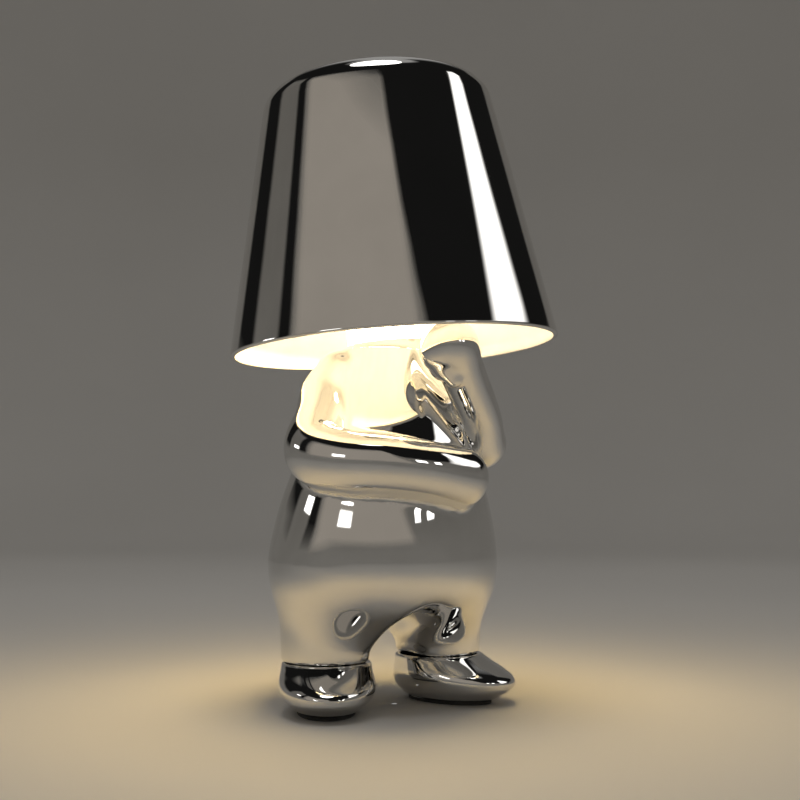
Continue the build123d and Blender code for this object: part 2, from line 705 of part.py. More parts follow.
def switch_housing():
    """Make the square switch housing on the control board."""
    square = rearward(0, BUTTON_RISE, BOARD_FACE) * Rectangle(SWITCH_SIDE, SWITCH_SIDE)
    body = extrude(square, SWITCH_HEIGHT)
    low = switch_tail() - BUTTON_TRAVEL - FLAT_GAP
    bore = PLUNGER_RADIUS + RUNNING_CLEARANCE
    return body - back_pin(bore, 0, BUTTON_RISE, low, SWITCH_FACE + CUT_OVERRUN)


def control_board():
    """Make the control board with its screw holes."""
    plate = Rectangle(2 * BOARD_HALF_WIDTH, BOARD_HEIGHT)
    board = extrude(rearward(0, BOARD_CENTRE, BOARD_FRONT) * plate, BOARD_THICKNESS)
    bore = BOARD_SCREW_RADIUS + SCREW_CLEARANCE
    for x, z in board_screw_places():
        board -= back_pin(bore, x, z, BOARD_FRONT - CUT_OVERRUN, BOARD_FACE + CUT_OVERRUN)
    return board


def board_screws():
    """Make the screws that hold the control board on the cover's posts."""
    screws = []
    for x, z in board_screw_places():
        head = back_pin(BOARD_SCREW_HEAD_RADIUS, x, z, BOARD_FRONT - BOARD_SCREW_HEAD, BOARD_FRONT)
        tip = BOARD_FACE + BOARD_SCREW_REACH
        screws.append(head + back_pin(BOARD_SCREW_RADIUS, x, z, BOARD_FRONT, tip))
    return screws


def connector_face():
    """Return the depth of the connectors' front, where the leads go in."""
    return BOARD_FRONT - CONNECTOR_DEPTH


def connectors():
    """Make the two lead connectors on the front of the control board."""
    shape = Rectangle(CONNECTOR_WIDTH, CONNECTOR_HEIGHT)
    blocks = []
    for x in (-CONNECTOR_OFFSET, CONNECTOR_OFFSET):
        blocks.append(extrude(rearward(x, BUTTON_RISE, connector_face()) * shape, CONNECTOR_DEPTH))
    return blocks


def battery_cell():
    """Make the rechargeable cell with its cap."""
    cell = disc(CELL_RADIUS, CELL_BOTTOM, CELL_TOP) + disc(CELL_CAP_RADIUS, CELL_TOP, CAP_TOP)
    return Pos(0, -CELL_FORWARD, 0) * cell


def battery_cradle():
    """Make the cradle: floor, spine, two clips and a bridge over the cell."""
    half = CRADLE_HALF_WIDTH
    floor_top = TORSO_FLOOR + CRADLE_FLOOR
    bridge_top = BRIDGE_UNDERSIDE + BRIDGE_THICKNESS
    spine_back = SPINE_FACE + SPINE_THICKNESS
    cradle = block((-half, CRADLE_FRONT, TORSO_FLOOR), (half, CRADLE_BACK, floor_top))
    far_corner = (SPINE_HALF_WIDTH, spine_back, bridge_top)
    cradle += block((-SPINE_HALF_WIDTH, SPINE_FACE, TORSO_FLOOR), far_corner)
    front = -CELL_FORWARD - CELL_RADIUS
    cradle += block((-SPINE_HALF_WIDTH, front, BRIDGE_UNDERSIDE), far_corner)
    inner = CELL_RADIUS + SLIP_CLEARANCE
    for share in CLIP_RISE_SHARES:
        low = CELL_BOTTOM + CELL_LENGTH * share
        clip = ring(inner + CLIP_WALL, inner, low, low + CLIP_HEIGHT)
        reach = inner + CLIP_WALL + CUT_OVERRUN
        mouth_low = (-CLIP_MOUTH / 2, -reach, low - CUT_OVERRUN)
        mouth = block(mouth_low, (CLIP_MOUTH / 2, 0, low + CLIP_HEIGHT + CUT_OVERRUN))
        cradle += Pos(0, -CELL_FORWARD, 0) * (clip - mouth)
    bore = CRADLE_SCREW_RADIUS + SCREW_CLEARANCE
    for depth in cradle_screw_depths():
        cradle -= Pos(0, depth, 0) * disc(bore, TORSO_FLOOR - CUT_OVERRUN, floor_top + CUT_OVERRUN)
    return cradle


def cradle_screws():
    """Make the screws that hold the cradle on the torso's floor."""
    screws = []
    floor_top = TORSO_FLOOR + CRADLE_FLOOR
    for depth in cradle_screw_depths():
        screw = disc(CRADLE_SCREW_HEAD_RADIUS, floor_top, floor_top + CRADLE_SCREW_HEAD)
        screw += disc(CRADLE_SCREW_RADIUS, TORSO_FLOOR - CRADLE_SCREW_BITE, floor_top)
        screws.append(Pos(0, depth, 0) * screw)
    return screws


def contact(radius, low):
    """Make one battery contact: a round plate with a soldering tab."""
    high = low + CONTACT_THICKNESS
    tab = block((-CONTACT_TAB_REACH, -CONTACT_TAB_WIDTH / 2, low), (0, CONTACT_TAB_WIDTH / 2, high))
    return Pos(0, -CELL_FORWARD, 0) * (disc(radius, low, high) + tab)


def contact_end(low):
    """Return the place where a lead leaves a contact's tab."""
    return -CONTACT_TAB_REACH, -CELL_FORWARD, low + CONTACT_THICKNESS / 2


def connector_end(x, pole):
    """Return the place where a lead enters its connector."""
    return x + pole * LEAD_PITCH / 2, connector_face(), BUTTON_RISE


def connector_approach(x, pole):
    """Return the place in front of a connector where its lead straightens."""
    across, depth, height = connector_end(x, pole)
    return across, depth - LEAD_STRAIGHT, height


def lead(name, points):
    """Sweep a lead along straight runs that are joined by wide arcs."""
    route = [Vector(*point) for point in points]
    radii = []
    for before, corner, after in zip(route, route[1:], route[2:]):
        run = min((corner - before).length, (after - corner).length)
        turn = (corner - before).get_angle(after - corner)
        radii.append(LEAD_BEND_SHARE * run / tan(radians(turn) / 2))
    path = FilletPolyline(*route, radius=radii)
    start = Plane(origin=route[0], z_dir=route[1] - route[0])
    tube = sweep(start * Circle(LEAD_RADIUS), path=path)
    filled = tube.volume / (pi * LEAD_RADIUS**2 * path.length)
    print(name, "radii", [round(radius, 1) for radius in radii], "volume share", round(filled, 4))
    return tube


def battery_lead(name, low, middle, pole):
    """Make one lead from a battery contact to the control board."""
    x = -CONNECTOR_OFFSET
    across, depth, height = contact_end(low)
    starts = [(across, depth, height), (across - LEAD_STRAIGHT, depth, height)]
    ends = [connector_approach(x, pole), connector_end(x, pole)]
    return lead(name, [*starts, *middle, *ends])


def led_lead(name, pole):
    """Make one lead from the control board up to the LED board."""
    x = CONNECTOR_OFFSET
    shift = pole * LEAD_PITCH / 2
    middle = [(across + shift, depth, up) for across, depth, up in LED_LEAD_ROUTE]
    entry = Vector(shift, LEAD_HOLE_OFFSET, NECK_UNDERSIDE - LEAD_STRAIGHT)
    finish = Vector(shift, LEAD_HOLE_OFFSET, NECK_TOP)
    ends = [TORSO.to_local_coords(HEAD.from_local_coords(place)) for place in (entry, finish)]
    return lead(name, [connector_end(x, pole), connector_approach(x, pole), *middle, *ends])


def lead_hole(low, high):
    """Make the hole that the LED leads pass through."""
    hole = disc(LEAD_HOLE_RADIUS, low - CUT_OVERRUN, high + CUT_OVERRUN)
    return Pos(0, LEAD_HOLE_OFFSET, 0) * hole


def hex_nut(low):
    """Make a hexagon nut for the rod, standing on the given height."""
    blank = extrude(RegularPolygon(NUT_WIDTH / 2, 6, major_radius=False), NUT_THICKNESS)
    bore = disc(ROD_RADIUS + RUNNING_CLEARANCE, -CUT_OVERRUN, NUT_THICKNESS + CUT_OVERRUN)
    return Pos(0, 0, low) * (blank - bore)


def neck_washer():
    """Make the washer between the neck and its nut."""
    low = NECK_UNDERSIDE - NECK_WASHER_THICKNESS
    return ring(NECK_WASHER_RADIUS, ROD_RADIUS + SCREW_CLEARANCE, low, NECK_UNDERSIDE)


def heat_spreader():
    """Make the round metal block that takes the heat off the LED board."""
    high = POCKET_FLOOR + HEAT_SPREADER_THICKNESS
    outer = POCKET_RADIUS - SCREW_CLEARANCE
    block_ring = ring(outer, ROD_RADIUS + SCREW_CLEARANCE, POCKET_FLOOR, high)
    return block_ring - lead_hole(POCKET_FLOOR, high)


def led_board_radius():
    """Return the radius of the LED board."""
    return POCKET_RADIUS - LED_BOARD_EDGE_GAP


def led_board():
    """Make the round board that carries the LEDs."""
    low = NECK_TOP - LED_BOARD_THICKNESS
    board = ring(led_board_radius(), ROD_RADIUS + SCREW_CLEARANCE, low, NECK_TOP)
    return board - lead_hole(low, NECK_TOP)


def led_chips():
    """Make the LEDs in a ring, clear of the hole for their leads."""
    chip = Box(LED_SIZE, LED_SIZE, LED_THICKNESS, align=(Align.CENTER, Align.CENTER, Align.MIN))
    reach = led_board_radius() - LED_EDGE_GAP
    chips = []
    for count in range(LED_COUNT):
        turn = BACK_ANGLE + 360 * (count + 1 / 2) / LED_COUNT
        chips.append(Rot(0, 0, turn) * Pos(reach, 0, NECK_TOP) * chip)
    return chips


def diffuser_side(radius, top):
    """Return the edges of one side of the diffuser's outline, from its foot to its crown."""
    knee = NECK_TOP + DIFFUSER_SKIRT
    up, across = DIFFUSER_DOME_SHARES
    shoulder = DIFFUSER_FLAT_RADIUS + (radius - DIFFUSER_FLAT_RADIUS) * across
    points = [
        (radius, 0, knee),
        (radius, 0, knee + (top - knee) * up),
        (shoulder, 0, top),
        (DIFFUSER_FLAT_RADIUS, 0, top),
    ]
    return [Line((radius, 0, NECK_TOP), points[0]), Bezier(*points)]


def diffuser():
    """Make the opal dome over the LEDs."""
    hole = ROD_RADIUS + SLIP_CLEARANCE
    ceiling = DIFFUSER_TOP - DIFFUSER_WALL
    inner_radius = DIFFUSER_RADIUS - DIFFUSER_WALL
    edges = diffuser_side(DIFFUSER_RADIUS, DIFFUSER_TOP) + diffuser_side(inner_radius, ceiling)
    edges.append(Line((DIFFUSER_RADIUS, 0, NECK_TOP), (inner_radius, 0, NECK_TOP)))
    edges.append(Line((DIFFUSER_FLAT_RADIUS, 0, DIFFUSER_TOP), (hole, 0, DIFFUSER_TOP)))
    edges.append(Line((DIFFUSER_FLAT_RADIUS, 0, ceiling), (hole, 0, ceiling)))
    edges.append(Line((hole, 0, DIFFUSER_TOP), (hole, 0, ceiling)))
    return revolve(make_face(edges), Axis.Z)


def diffuser_nut():
    """Make the round nut that holds the diffuser down."""
    high = DIFFUSER_TOP + DIFFUSER_NUT_THICKNESS
    return ring(DIFFUSER_NUT_RADIUS, ROD_RADIUS + RUNNING_CLEARANCE, DIFFUSER_TOP, high)


def centre_rod():
    """Make the rod that clamps the light unit, with a hole in its top for the pivot pin."""
    rod = disc(ROD_RADIUS, ROD_BOTTOM, ROD_SHOULDER)
    low = ROD_SHOULDER - PIN_TAIL - FLAT_GAP
    return rod - disc(PIN_TAIL_RADIUS + RUNNING_CLEARANCE, low, ROD_SHOULDER + CUT_OVERRUN)


def pivot_pin():
    """Make the pin that the shade's seat turns on, screwed into the rod's top."""
    pin = disc(SPIGOT_RADIUS, ROD_SHOULDER, CIRCLIP_HIGH + SPIGOT_TIP)
    pin += disc(PIN_TAIL_RADIUS, ROD_SHOULDER - PIN_TAIL, ROD_SHOULDER)
    return pin - ring(SPIGOT_RADIUS + CUT_OVERRUN, CIRCLIP_BORE, CIRCLIP_LOW, CIRCLIP_HIGH)


def thrust_washer():
    """Make the plain washer that the seat turns on."""
    bore = SPIGOT_RADIUS + RUNNING_CLEARANCE
    return ring(THRUST_WASHER_RADIUS, bore, ROD_SHOULDER, SEAT_BOTTOM)


def swivel_seat():
    """Make the cup that turns on the rod's spigot."""
    seat = ring(SEAT_RADIUS, SPIGOT_RADIUS + RUNNING_CLEARANCE, SEAT_BOTTOM, SEAT_TOP)
    return seat - disc(MAGNET_RADIUS + SCREW_CLEARANCE, SEAT_FLOOR, SEAT_TOP + CUT_OVERRUN)


def seat_magnet():
    """Make the ring magnet in the seat."""
    return ring(MAGNET_RADIUS, MAGNET_BORE, SEAT_FLOOR, SEAT_TOP - FLAT_GAP)


def seat_circlip():
    """Make the open ring that keeps the seat on the spigot."""
    clip = ring(CIRCLIP_RADIUS, CIRCLIP_BORE, CIRCLIP_LOW, CIRCLIP_HIGH)
    half = CIRCLIP_GAP_WIDTH / 2
    return clip - block((0, -half, CIRCLIP_LOW), (CIRCLIP_RADIUS + CUT_OVERRUN, half, CIRCLIP_HIGH))


def shade_keeper():
    """Make the steel plate under the shade's top, with a skirt round the seat."""
    inner = SEAT_RADIUS + SLIP_CLEARANCE
    outer = inner + SKIRT_WALL
    skirt = ring(outer, inner, SEAT_TOP - SKIRT_DROP, SEAT_TOP)
    return disc(outer, SEAT_TOP, SHADE_CEILING) + skirt


def shade_shell():
    """Turn the shade: a cone with a closed, rounded top and a hemmed rim."""
    slope = (SHADE_RIM_RADIUS - SHADE_TOP_RADIUS) / SHADE_HEIGHT
    skew = sqrt(1 + slope**2)

    def wall(height, thickness):
        return SHADE_RIM_RADIUS - slope * height - thickness * skew, height

    crown = wall(SHADE_HEIGHT, 0)
    inner_crown = wall(SHADE_CEILING, SHADE_WALL)
    points = [
        (0, SHADE_HEIGHT),
        crown,
        wall(0, 0),
        wall(0, SHADE_HEM_WALL),
        wall(SHADE_HEM_HEIGHT, SHADE_HEM_WALL),
        wall(SHADE_HEM_HEIGHT, SHADE_WALL),
        inner_crown,
        (0, SHADE_CEILING),
    ]
    outline = make_face(Polyline(*points, close=True))
    corners = {
        crown: SHADE_CORNER_RADIUS,
        inner_crown: SHADE_CORNER_RADIUS - SHADE_WALL,
        points[2]: SHADE_EDGE_ROUND,
        points[3]: SHADE_EDGE_ROUND,
    }
    for place, radius in corners.items():
        corner = outline.vertices().sort_by_distance((place[0], place[1], 0))[0]
        outline = fillet(corner, radius)
    return revolve(Plane.XZ * outline, Axis.Z)


def figure_nodes():
    """Make the figure's castings and what holds them together."""
    form = figure_form()
    folded = largest(limb(FOLDED_ARM_SHARES) - form)
    raised = limb(RAISED_UPPER_ARM_SHARES) + limb(RAISED_FOREARM_SHARES)
    raised = largest(raised - form - folded)
    right_foot, left_foot = both_feet(foot())
    right_sole, left_sole = both_feet(sole())
    return {
        "torso_casting": torso_casting(form),
        "right_leg": leg(-1, form),
        "left_leg": leg(1, form),
        "folded_arm": folded - dowel_holes(FOLDED_DOWEL_SHARES),
        "raised_arm": raised - dowel_holes(RAISED_DOWEL_SHARES),
        "arm_dowels": arm_dowels(),
        "right_foot": right_foot,
        "left_foot": left_foot,
        "right_sole": right_sole,
        "left_sole": left_sole,
        "foot_ballast": both_feet(ballast()),
        "foot_screws": both_feet(foot_screw()),
    }


def torso_nodes():
    """Make what the torso holds, in the torso's frame."""
    return {
        "rear_cover": rear_cover(),
        "cover_screws": cover_screws(),
        "control_board": control_board(),
        "board_screws": board_screws(),
        "board_connectors": connectors(),
        "charging_port": charging_port(),
        "charge_light_pipe": light_pipe(),
        "switch_housing": switch_housing(),
        "switch_plunger": switch_plunger(),
        "power_button": power_button(),
        "battery_cell": battery_cell(),
        "battery_cradle": battery_cradle(),
        "cradle_screws": cradle_screws(),
        "plus_contact": contact(CELL_CAP_RADIUS, CAP_TOP),
        "minus_contact": contact(CONTACT_RADIUS, CELL_BOTTOM - CONTACT_THICKNESS),
        "battery_plus_lead": battery_lead("battery_plus_lead", CAP_TOP, PLUS_LEAD_ROUTE, -1),
        "battery_minus_lead": battery_lead(
            "battery_minus_lead", CELL_BOTTOM - CONTACT_THICKNESS, MINUS_LEAD_ROUTE, 1
        ),
        "led_plus_lead": led_lead("led_plus_lead", 1),
        "led_minus_lead": led_lead("led_minus_lead", -1),
    }


def head_nodes():
    """Make the light unit, the seat and the shade, in the shade's frame."""
    neck_nut_low = NECK_UNDERSIDE - NECK_WASHER_THICKNESS - NUT_THICKNESS
    return {
        "centre_rod": centre_rod(),
        "pivot_pin": pivot_pin(),
        "neck_washer": neck_washer(),
        "neck_nut": hex_nut(neck_nut_low),
        "heat_spreader": heat_spreader(),
        "led_board": led_board(),
        "led_chips": led_chips(),
        "clamp_nut": hex_nut(NECK_TOP),
        "diffuser": diffuser(),
        "diffuser_nut": diffuser_nut(),
        "thrust_washer": thrust_washer(),
        "swivel_seat": swivel_seat(),
        "seat_magnet": seat_magnet(),
        "seat_circlip": seat_circlip(),
        "shade_keeper": shade_keeper(),
        "shade_shell": shade_shell(),
    }


def placed(frame, piece):
    """Put a piece, or a group of like pieces, from its own frame into the lamp's."""
    if isinstance(piece, list):
        return Compound([solid for item in piece for solid in (frame * item).solids()])
    return frame * piece


def lamp_nodes():
    """Return every node of the lamp in the lamp's frame."""
    groups = ((Plane.XY, figure_nodes()), (TORSO, torso_nodes()), (HEAD, head_nodes()))
    return {name: placed(frame, piece) for frame, nodes in groups for name, piece in nodes.items()}


def main():
    """Write one file for each node."""
    os.makedirs("parts", exist_ok=True)
    for name, shape in lamp_nodes().items():
        export_step(shape, f"parts/{name}.step")


if __name__ == "__main__":
    main()
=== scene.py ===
# %% [markdown]
# # A figure lamp in mirror plate
#
# This lesson dresses a table lamp: a small, chubby figure without a face, which wears
# its lampshade as a head. The CAD frame holds every piece of the real lamp, from the
# cell in its belly to the magnet under the shade's top, each at its true place. What
# the frame can't show is how the lamp looks: plated metal without a single seam,
# a glowing shade and the studio that the metal reflects.
#
# First the frame is loaded, and a helper is made that measures the box around any of its pieces.

# %% Load the frame and measure it
import json
from math import cos, pi, radians, sin

import bpy
import numpy as np
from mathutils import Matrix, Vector


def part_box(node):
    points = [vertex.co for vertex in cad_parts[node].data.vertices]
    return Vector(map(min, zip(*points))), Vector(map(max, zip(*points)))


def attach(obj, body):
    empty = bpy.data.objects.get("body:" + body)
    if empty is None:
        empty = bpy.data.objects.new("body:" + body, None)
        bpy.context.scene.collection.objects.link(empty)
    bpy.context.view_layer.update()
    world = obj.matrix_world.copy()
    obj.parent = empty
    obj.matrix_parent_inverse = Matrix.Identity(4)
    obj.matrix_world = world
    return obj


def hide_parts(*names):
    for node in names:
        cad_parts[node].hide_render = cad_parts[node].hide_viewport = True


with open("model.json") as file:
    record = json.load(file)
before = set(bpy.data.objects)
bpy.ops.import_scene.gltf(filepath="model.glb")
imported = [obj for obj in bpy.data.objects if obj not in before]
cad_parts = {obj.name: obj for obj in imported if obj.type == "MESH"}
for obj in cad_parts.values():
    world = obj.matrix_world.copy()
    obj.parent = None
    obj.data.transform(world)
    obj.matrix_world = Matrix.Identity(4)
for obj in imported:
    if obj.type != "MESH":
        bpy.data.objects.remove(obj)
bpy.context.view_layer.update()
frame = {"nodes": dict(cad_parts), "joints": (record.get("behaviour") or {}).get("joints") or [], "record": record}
nodes = frame["nodes"]
MM = 0.001

# %% [markdown]
# ## Where the head and the belly are
#
# The shade turns on an axis that leans by about 4 degrees. The frame's own joint gives
# that axis and the middle of the shade's rim, and the torso's box gives the belly. These
# places could be typed in, but reading them keeps every piece on the frame. From here on
# shapes are worked out in millimetres, and only the finished mesh is in metres.

# %% Read the axes from the frame
turn = next(joint for joint in frame["joints"] if joint["name"] == "shade_turn")
rim = np.array(turn["pos_m"]) / MM
lean = np.array(turn["axis"])
torso_low, torso_high = (np.array(corner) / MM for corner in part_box("torso_casting"))
BELLY_RADIUS = (torso_high[0] - torso_low[0]) / 2
BELLY_HEIGHT = 52.0
NECK_GAP = 2.0
belly = (torso_low + torso_high) / 2
belly[2] = BELLY_HEIGHT
spine = (rim - belly) / np.linalg.norm(rim - belly)
TORSO_RISE = np.linalg.norm(rim - belly) - NECK_GAP
print("belly at", belly.round(1), "radius", round(BELLY_RADIUS, 1), "rise", round(TORSO_RISE, 1))


def axes_along(direction):
    """Return a frame: its last row is the direction, its first points to the figure's left."""
    across = np.array([1.0, 0.0, 0.0])
    across = across - direction * (across @ direction)
    across = across / np.linalg.norm(across)
    return np.array([across, np.cross(direction, across), direction])


# %% [markdown]
# ## The camera
#
# The picture was taken from the lamp's front, 30 degrees round to its right hand side,
# with the lens a little below the lamp's middle and tilted up by 5 degrees. The camera
# could be aimed by a constraint, but a fixed place and tilt are easier to compare with
# the picture. Setting it first means that every later choice is judged from one place.

# %% Set the camera
camera = bpy.data.objects.new("camera", bpy.data.cameras.new("camera"))
bpy.context.scene.collection.objects.link(camera)
camera.location = (-0.2038, -0.3572, 0.0729)
camera.rotation_euler = (radians(90 + 5.23), 0, radians(-30))
camera.data.lens = 50
camera.data.sensor_width = 36
camera.data.clip_start = 0.01
bpy.context.scene.camera = camera
bpy.context.scene.view_settings.view_transform = "Standard"
print("camera", round(Vector(camera.location).length, 3), "m from the lamp's foot")

# %% [markdown]
# ## Tools for finishes
#
# A finish is a small tree of nodes, in which a texture moves the colour, the roughness or
# the surface itself. A painted image could do that too, but noise that is worked out in
# space needs no unwrapping and has no seams. Each of these helpers adds one such step.

# %% Make the tools for finishes
NOISE_LOW, NOISE_HIGH = 0.3, 0.7


def start_material(name):
    """Make a node material and return it with its node tree and its shader."""
    material = bpy.data.materials.new(name)
    material.use_nodes = True
    tree = material.node_tree
    return material, tree, tree.nodes["Principled BSDF"]


def noise_on(tree, scale, detail=3.0, stretch=(1, 1, 1)):
    """Add a noise texture in the object's own space, with cells of one metre divided by scale."""
    place = tree.nodes.new("ShaderNodeTexCoord")
    mapping = tree.nodes.new("ShaderNodeMapping")
    mapping.inputs["Scale"].default_value = stretch
    noise = tree.nodes.new("ShaderNodeTexNoise")
    noise.inputs["Scale"].default_value = scale
    noise.inputs["Detail"].default_value = detail
    tree.links.new(place.outputs["Object"], mapping.inputs["Vector"])
    tree.links.new(mapping.outputs["Vector"], noise.inputs["Vector"])
    return noise


def spread(tree, source, socket, low, high):
    """Let a texture move a socket's value between two numbers."""
    span = tree.nodes.new("ShaderNodeMapRange")
    span.inputs["From Min"].default_value = NOISE_LOW
    span.inputs["From Max"].default_value = NOISE_HIGH
    span.inputs["To Min"].default_value = low
    span.inputs["To Max"].default_value = high
    tree.links.new(source.outputs[0], span.inputs["Value"])
    tree.links.new(span.outputs["Result"], socket)


def two_tones(tree, source, socket, dark, light):
    """Let a texture move a colour socket between two colours."""
    ramp = tree.nodes.new("ShaderNodeValToRGB")
    ramp.color_ramp.elements[0].position = NOISE_LOW
    ramp.color_ramp.elements[0].color = (*dark, 1)
    ramp.color_ramp.elements[1].position = NOISE_HIGH
    ramp.color_ramp.elements[1].color = (*light, 1)
    tree.links.new(source.outputs[0], ramp.inputs["Fac"])
    tree.links.new(ramp.outputs["Color"], socket)


def ripple(tree, source, shader, strength, depth):
    """Let a texture raise and lower the surface by a depth in metres."""
    bump = tree.nodes.new("ShaderNodeBump")
    bump.inputs["Strength"].default_value = strength
    bump.inputs["Distance"].default_value = depth
    tree.links.new(source.outputs[0], bump.inputs["Height"])
    tree.links.new(bump.outputs["Normal"], shader.inputs["Normal"])


print("textures are used from", NOISE_LOW, "to", NOISE_HIGH, "of their height")

# %% [markdown]
# ## The plating
#
# Bright nickel-chrome plating is nearly a perfect mirror. It could be one flat mirror
# colour, but then it looks computed. What tells real plate apart is the hand polishing
# beneath it: broad, faint waves in the metal, and a haze that is a little stronger in
# some places than in others. One texture bends the surface by a hair and another moves
# the roughness, both so weakly that they are felt, not seen.


# %% Make the plating
def plating(name, dark, light, smooth, hazy):
    """Make a polished metal: tones, roughness range and a faint polishing wave."""
    material, tree, shader = start_material(name)
    shader.inputs["Metallic"].default_value = 1.0
    haze = noise_on(tree, scale=38.0)
    two_tones(tree, haze, shader.inputs["Base Color"], dark, light)
    spread(tree, haze, shader.inputs["Roughness"], smooth, hazy)
    wave = noise_on(tree, scale=55.0, detail=0.0)
    ripple(tree, wave, shader, strength=0.06, depth=0.0006)
    return material


chrome = plating("mirror_plate", (0.74, 0.735, 0.72), (0.80, 0.795, 0.78), 0.018, 0.042)
satin = plating("satin_plate", (0.60, 0.60, 0.59), (0.70, 0.70, 0.69), 0.16, 0.26)
print("plating:", chrome.name, satin.name)

# %% [markdown]
# ## Working with distances
#
# The figure is cast in pieces, but after filling, grinding and plating it reads as one
# skin: the belly swells into the legs, and the arms lie against the chest with a soft
# crease. It could be sculpted, or joined from meshes with hard seams. A distance field,
# a rule that says how far any point is from the surface, is the better way here: two
# fields join with a fillet of any width, just as filler is smoothed into a corner.

# %% Join and cut with distance fields
FAR, MARGIN = 60.0, 14.0


def smooth_union(first, second, width):
    """Join two distance fields with a fillet of about this width."""
    share = np.clip(0.5 + 0.5 * (second - first) / width, 0, 1)
    return second + (first - second) * share - width * share * (1 - share)


def smooth_common(first, second, width):
    """Keep what two distance fields have in common, with the edge rounded over."""
    return -smooth_union(-first, -second, width)


def smooth_rows(rows, steps):
    """Run a smooth curve through rows of numbers, with this many steps between them."""
    rows = np.array(rows, float)
    ends = np.vstack([2 * rows[0] - rows[1], rows, 2 * rows[-1] - rows[-2]])
    curve = []
    for before, start, end, after in zip(ends, ends[1:], ends[2:], ends[3:]):
        for t in np.arange(steps) / steps:
            bend = (2 * before - 5 * start + 4 * end - after) * t
            bend = bend + (3 * start - before - 3 * end + after) * t * t
            curve.append(start + 0.5 * t * (end - before + bend))
    return np.array(curve + [rows[-1]])


def limb_field(places, rows):
    """Return the distance to a limb, given as rows of x, y, z and thickness along it."""
    field = np.full(len(places), FAR)
    reach = rows[:, 3].max() + MARGIN
    near = np.all((places > rows[:, :3].min(0) - reach) & (places < rows[:, :3].max(0) + reach), axis=1)
    close, best = places[near], field[near]
    for start, end in zip(rows, rows[1:]):
        along = end[:3] - start[:3]
        share = np.clip((close - start[:3]) @ along / (along @ along), 0, 1)
        gap = np.linalg.norm(close - start[:3] - share[:, None] * along, axis=1)
        best = np.minimum(best, gap - start[3] - share * (end[3] - start[3]))
    field[near] = best
    return field


def post_field(places, foot, direction, radius, low, high):
    """Return the distance to a straight round post along a direction."""
    height = (places - foot) @ direction
    out = np.linalg.norm(places - foot - height[:, None] * direction, axis=1) - radius
    return np.maximum(out, np.maximum(low - height, height - high))


touching = np.zeros(1)
print("a fillet of width 4 fills a corner by", -smooth_union(touching, touching, 4.0)[0], "mm")

# %% [markdown]
# ## From a field to a skin
#
# To draw the skin, space is cut into small cubes. Each cube that the surface passes
# through gets one vertex, and neighbours are joined by four-sided faces. Blender's own
# remesh could do this for a mesh, but a field has none yet. A small ball shows the result.


# %% Draw the skin of a field
def skin(field, low, high, cell):
    """Return the vertices and four-sided faces where a field is zero inside a box."""
    ticks = [np.arange(a, b + cell, cell) for a, b in zip(low, high)]
    shape = [len(t) for t in ticks]
    values = np.empty(shape)
    for layer, x in enumerate(ticks[0]):
        flat = np.stack(np.meshgrid([x], ticks[1], ticks[2], indexing="ij"), -1)
        values[layer] = field(flat.reshape(-1, 3)).reshape(shape[1:])
    inside = values < 0
    full = sum(
        inside[i : shape[0] - 1 + i, j : shape[1] - 1 + j, k : shape[2] - 1 + k].astype(int)
        for i, j, k in np.ndindex(2, 2, 2)
    )
    cubes = np.argwhere((full > 0) & (full < 8))
    number = np.full(full.shape, -1)
    number[tuple(cubes.T)] = np.arange(len(cubes))
    total, hits = np.zeros((len(cubes), 3)), np.zeros((len(cubes), 1))
    quads = []
    for axis in range(3):
        step = np.eye(3, dtype=int)[axis]
        side, other = np.eye(3, dtype=int)[(axis + 1) % 3], np.eye(3, dtype=int)[(axis + 2) % 3]
        for i, j in np.ndindex(2, 2):
            corner = i * side + j * other
            start, end = values[tuple((cubes + corner).T)], values[tuple((cubes + corner + step).T)]
            cut = (start < 0) != (end < 0)
            share = start[cut] / (start[cut] - end[cut])
            total[cut] += corner + share[:, None] * step
            hits[cut] += 1
        ahead = np.roll(inside, -1, axis)
        starts = np.argwhere(inside != ahead)
        starts = starts[np.all(starts > 0, axis=1) & (starts[:, axis] < shape[axis] - 1)]
        around = [number[tuple((starts - shift).T)] for shift in (0 * side, side, side + other, other)]
        faces = np.stack(around, 1)
        outward = inside[tuple(starts.T)]
        faces[~outward] = faces[~outward][:, ::-1]
        quads.append(faces)
    return np.array(low) + cell * (cubes + total / hits), np.vstack(quads)


def ball_field(places):
    """Return the distance to a small ball."""
    return np.linalg.norm(places, axis=1) - 5.0


ball, ball_quads = skin(ball_field, (-7, -7, -7), (7, 7, 7), 1.0)
print("a ball 10 mm wide:", len(ball), "vertices,", len(ball_quads), "faces")

# %% [markdown]
# ## Evening the skin out
#
# Fresh from the cubes the vertices crowd in some places and lie a little off the surface.
# A smoothing modifier would shrink the form. Here each vertex moves towards the middle of
# its neighbours and is then put back exactly onto the surface, along the field's slope.

# %% Even the skin out
GENTLEST_SLOPE = 0.25


def slope(field, places, step=0.12):
    """Return the direction in which a field grows, at each place."""
    parts = []
    for shift in np.eye(3) * step:
        parts.append((field(places + shift) - field(places - shift)) / (2 * step))
    return np.stack(parts, 1)


def edges_of(quads):
    """Return each edge of the faces as a pair of vertex numbers, in both directions."""
    ends = np.vstack([quads[:, (i, (i + 1) % 4)] for i in range(4)])
    return np.vstack([ends, ends[:, ::-1]])


def gathered(ends, values, count):
    """Add up, for each vertex, the values along the edges that start there."""
    return np.stack([np.bincount(ends[:, 0], column, count) for column in values.T], 1)


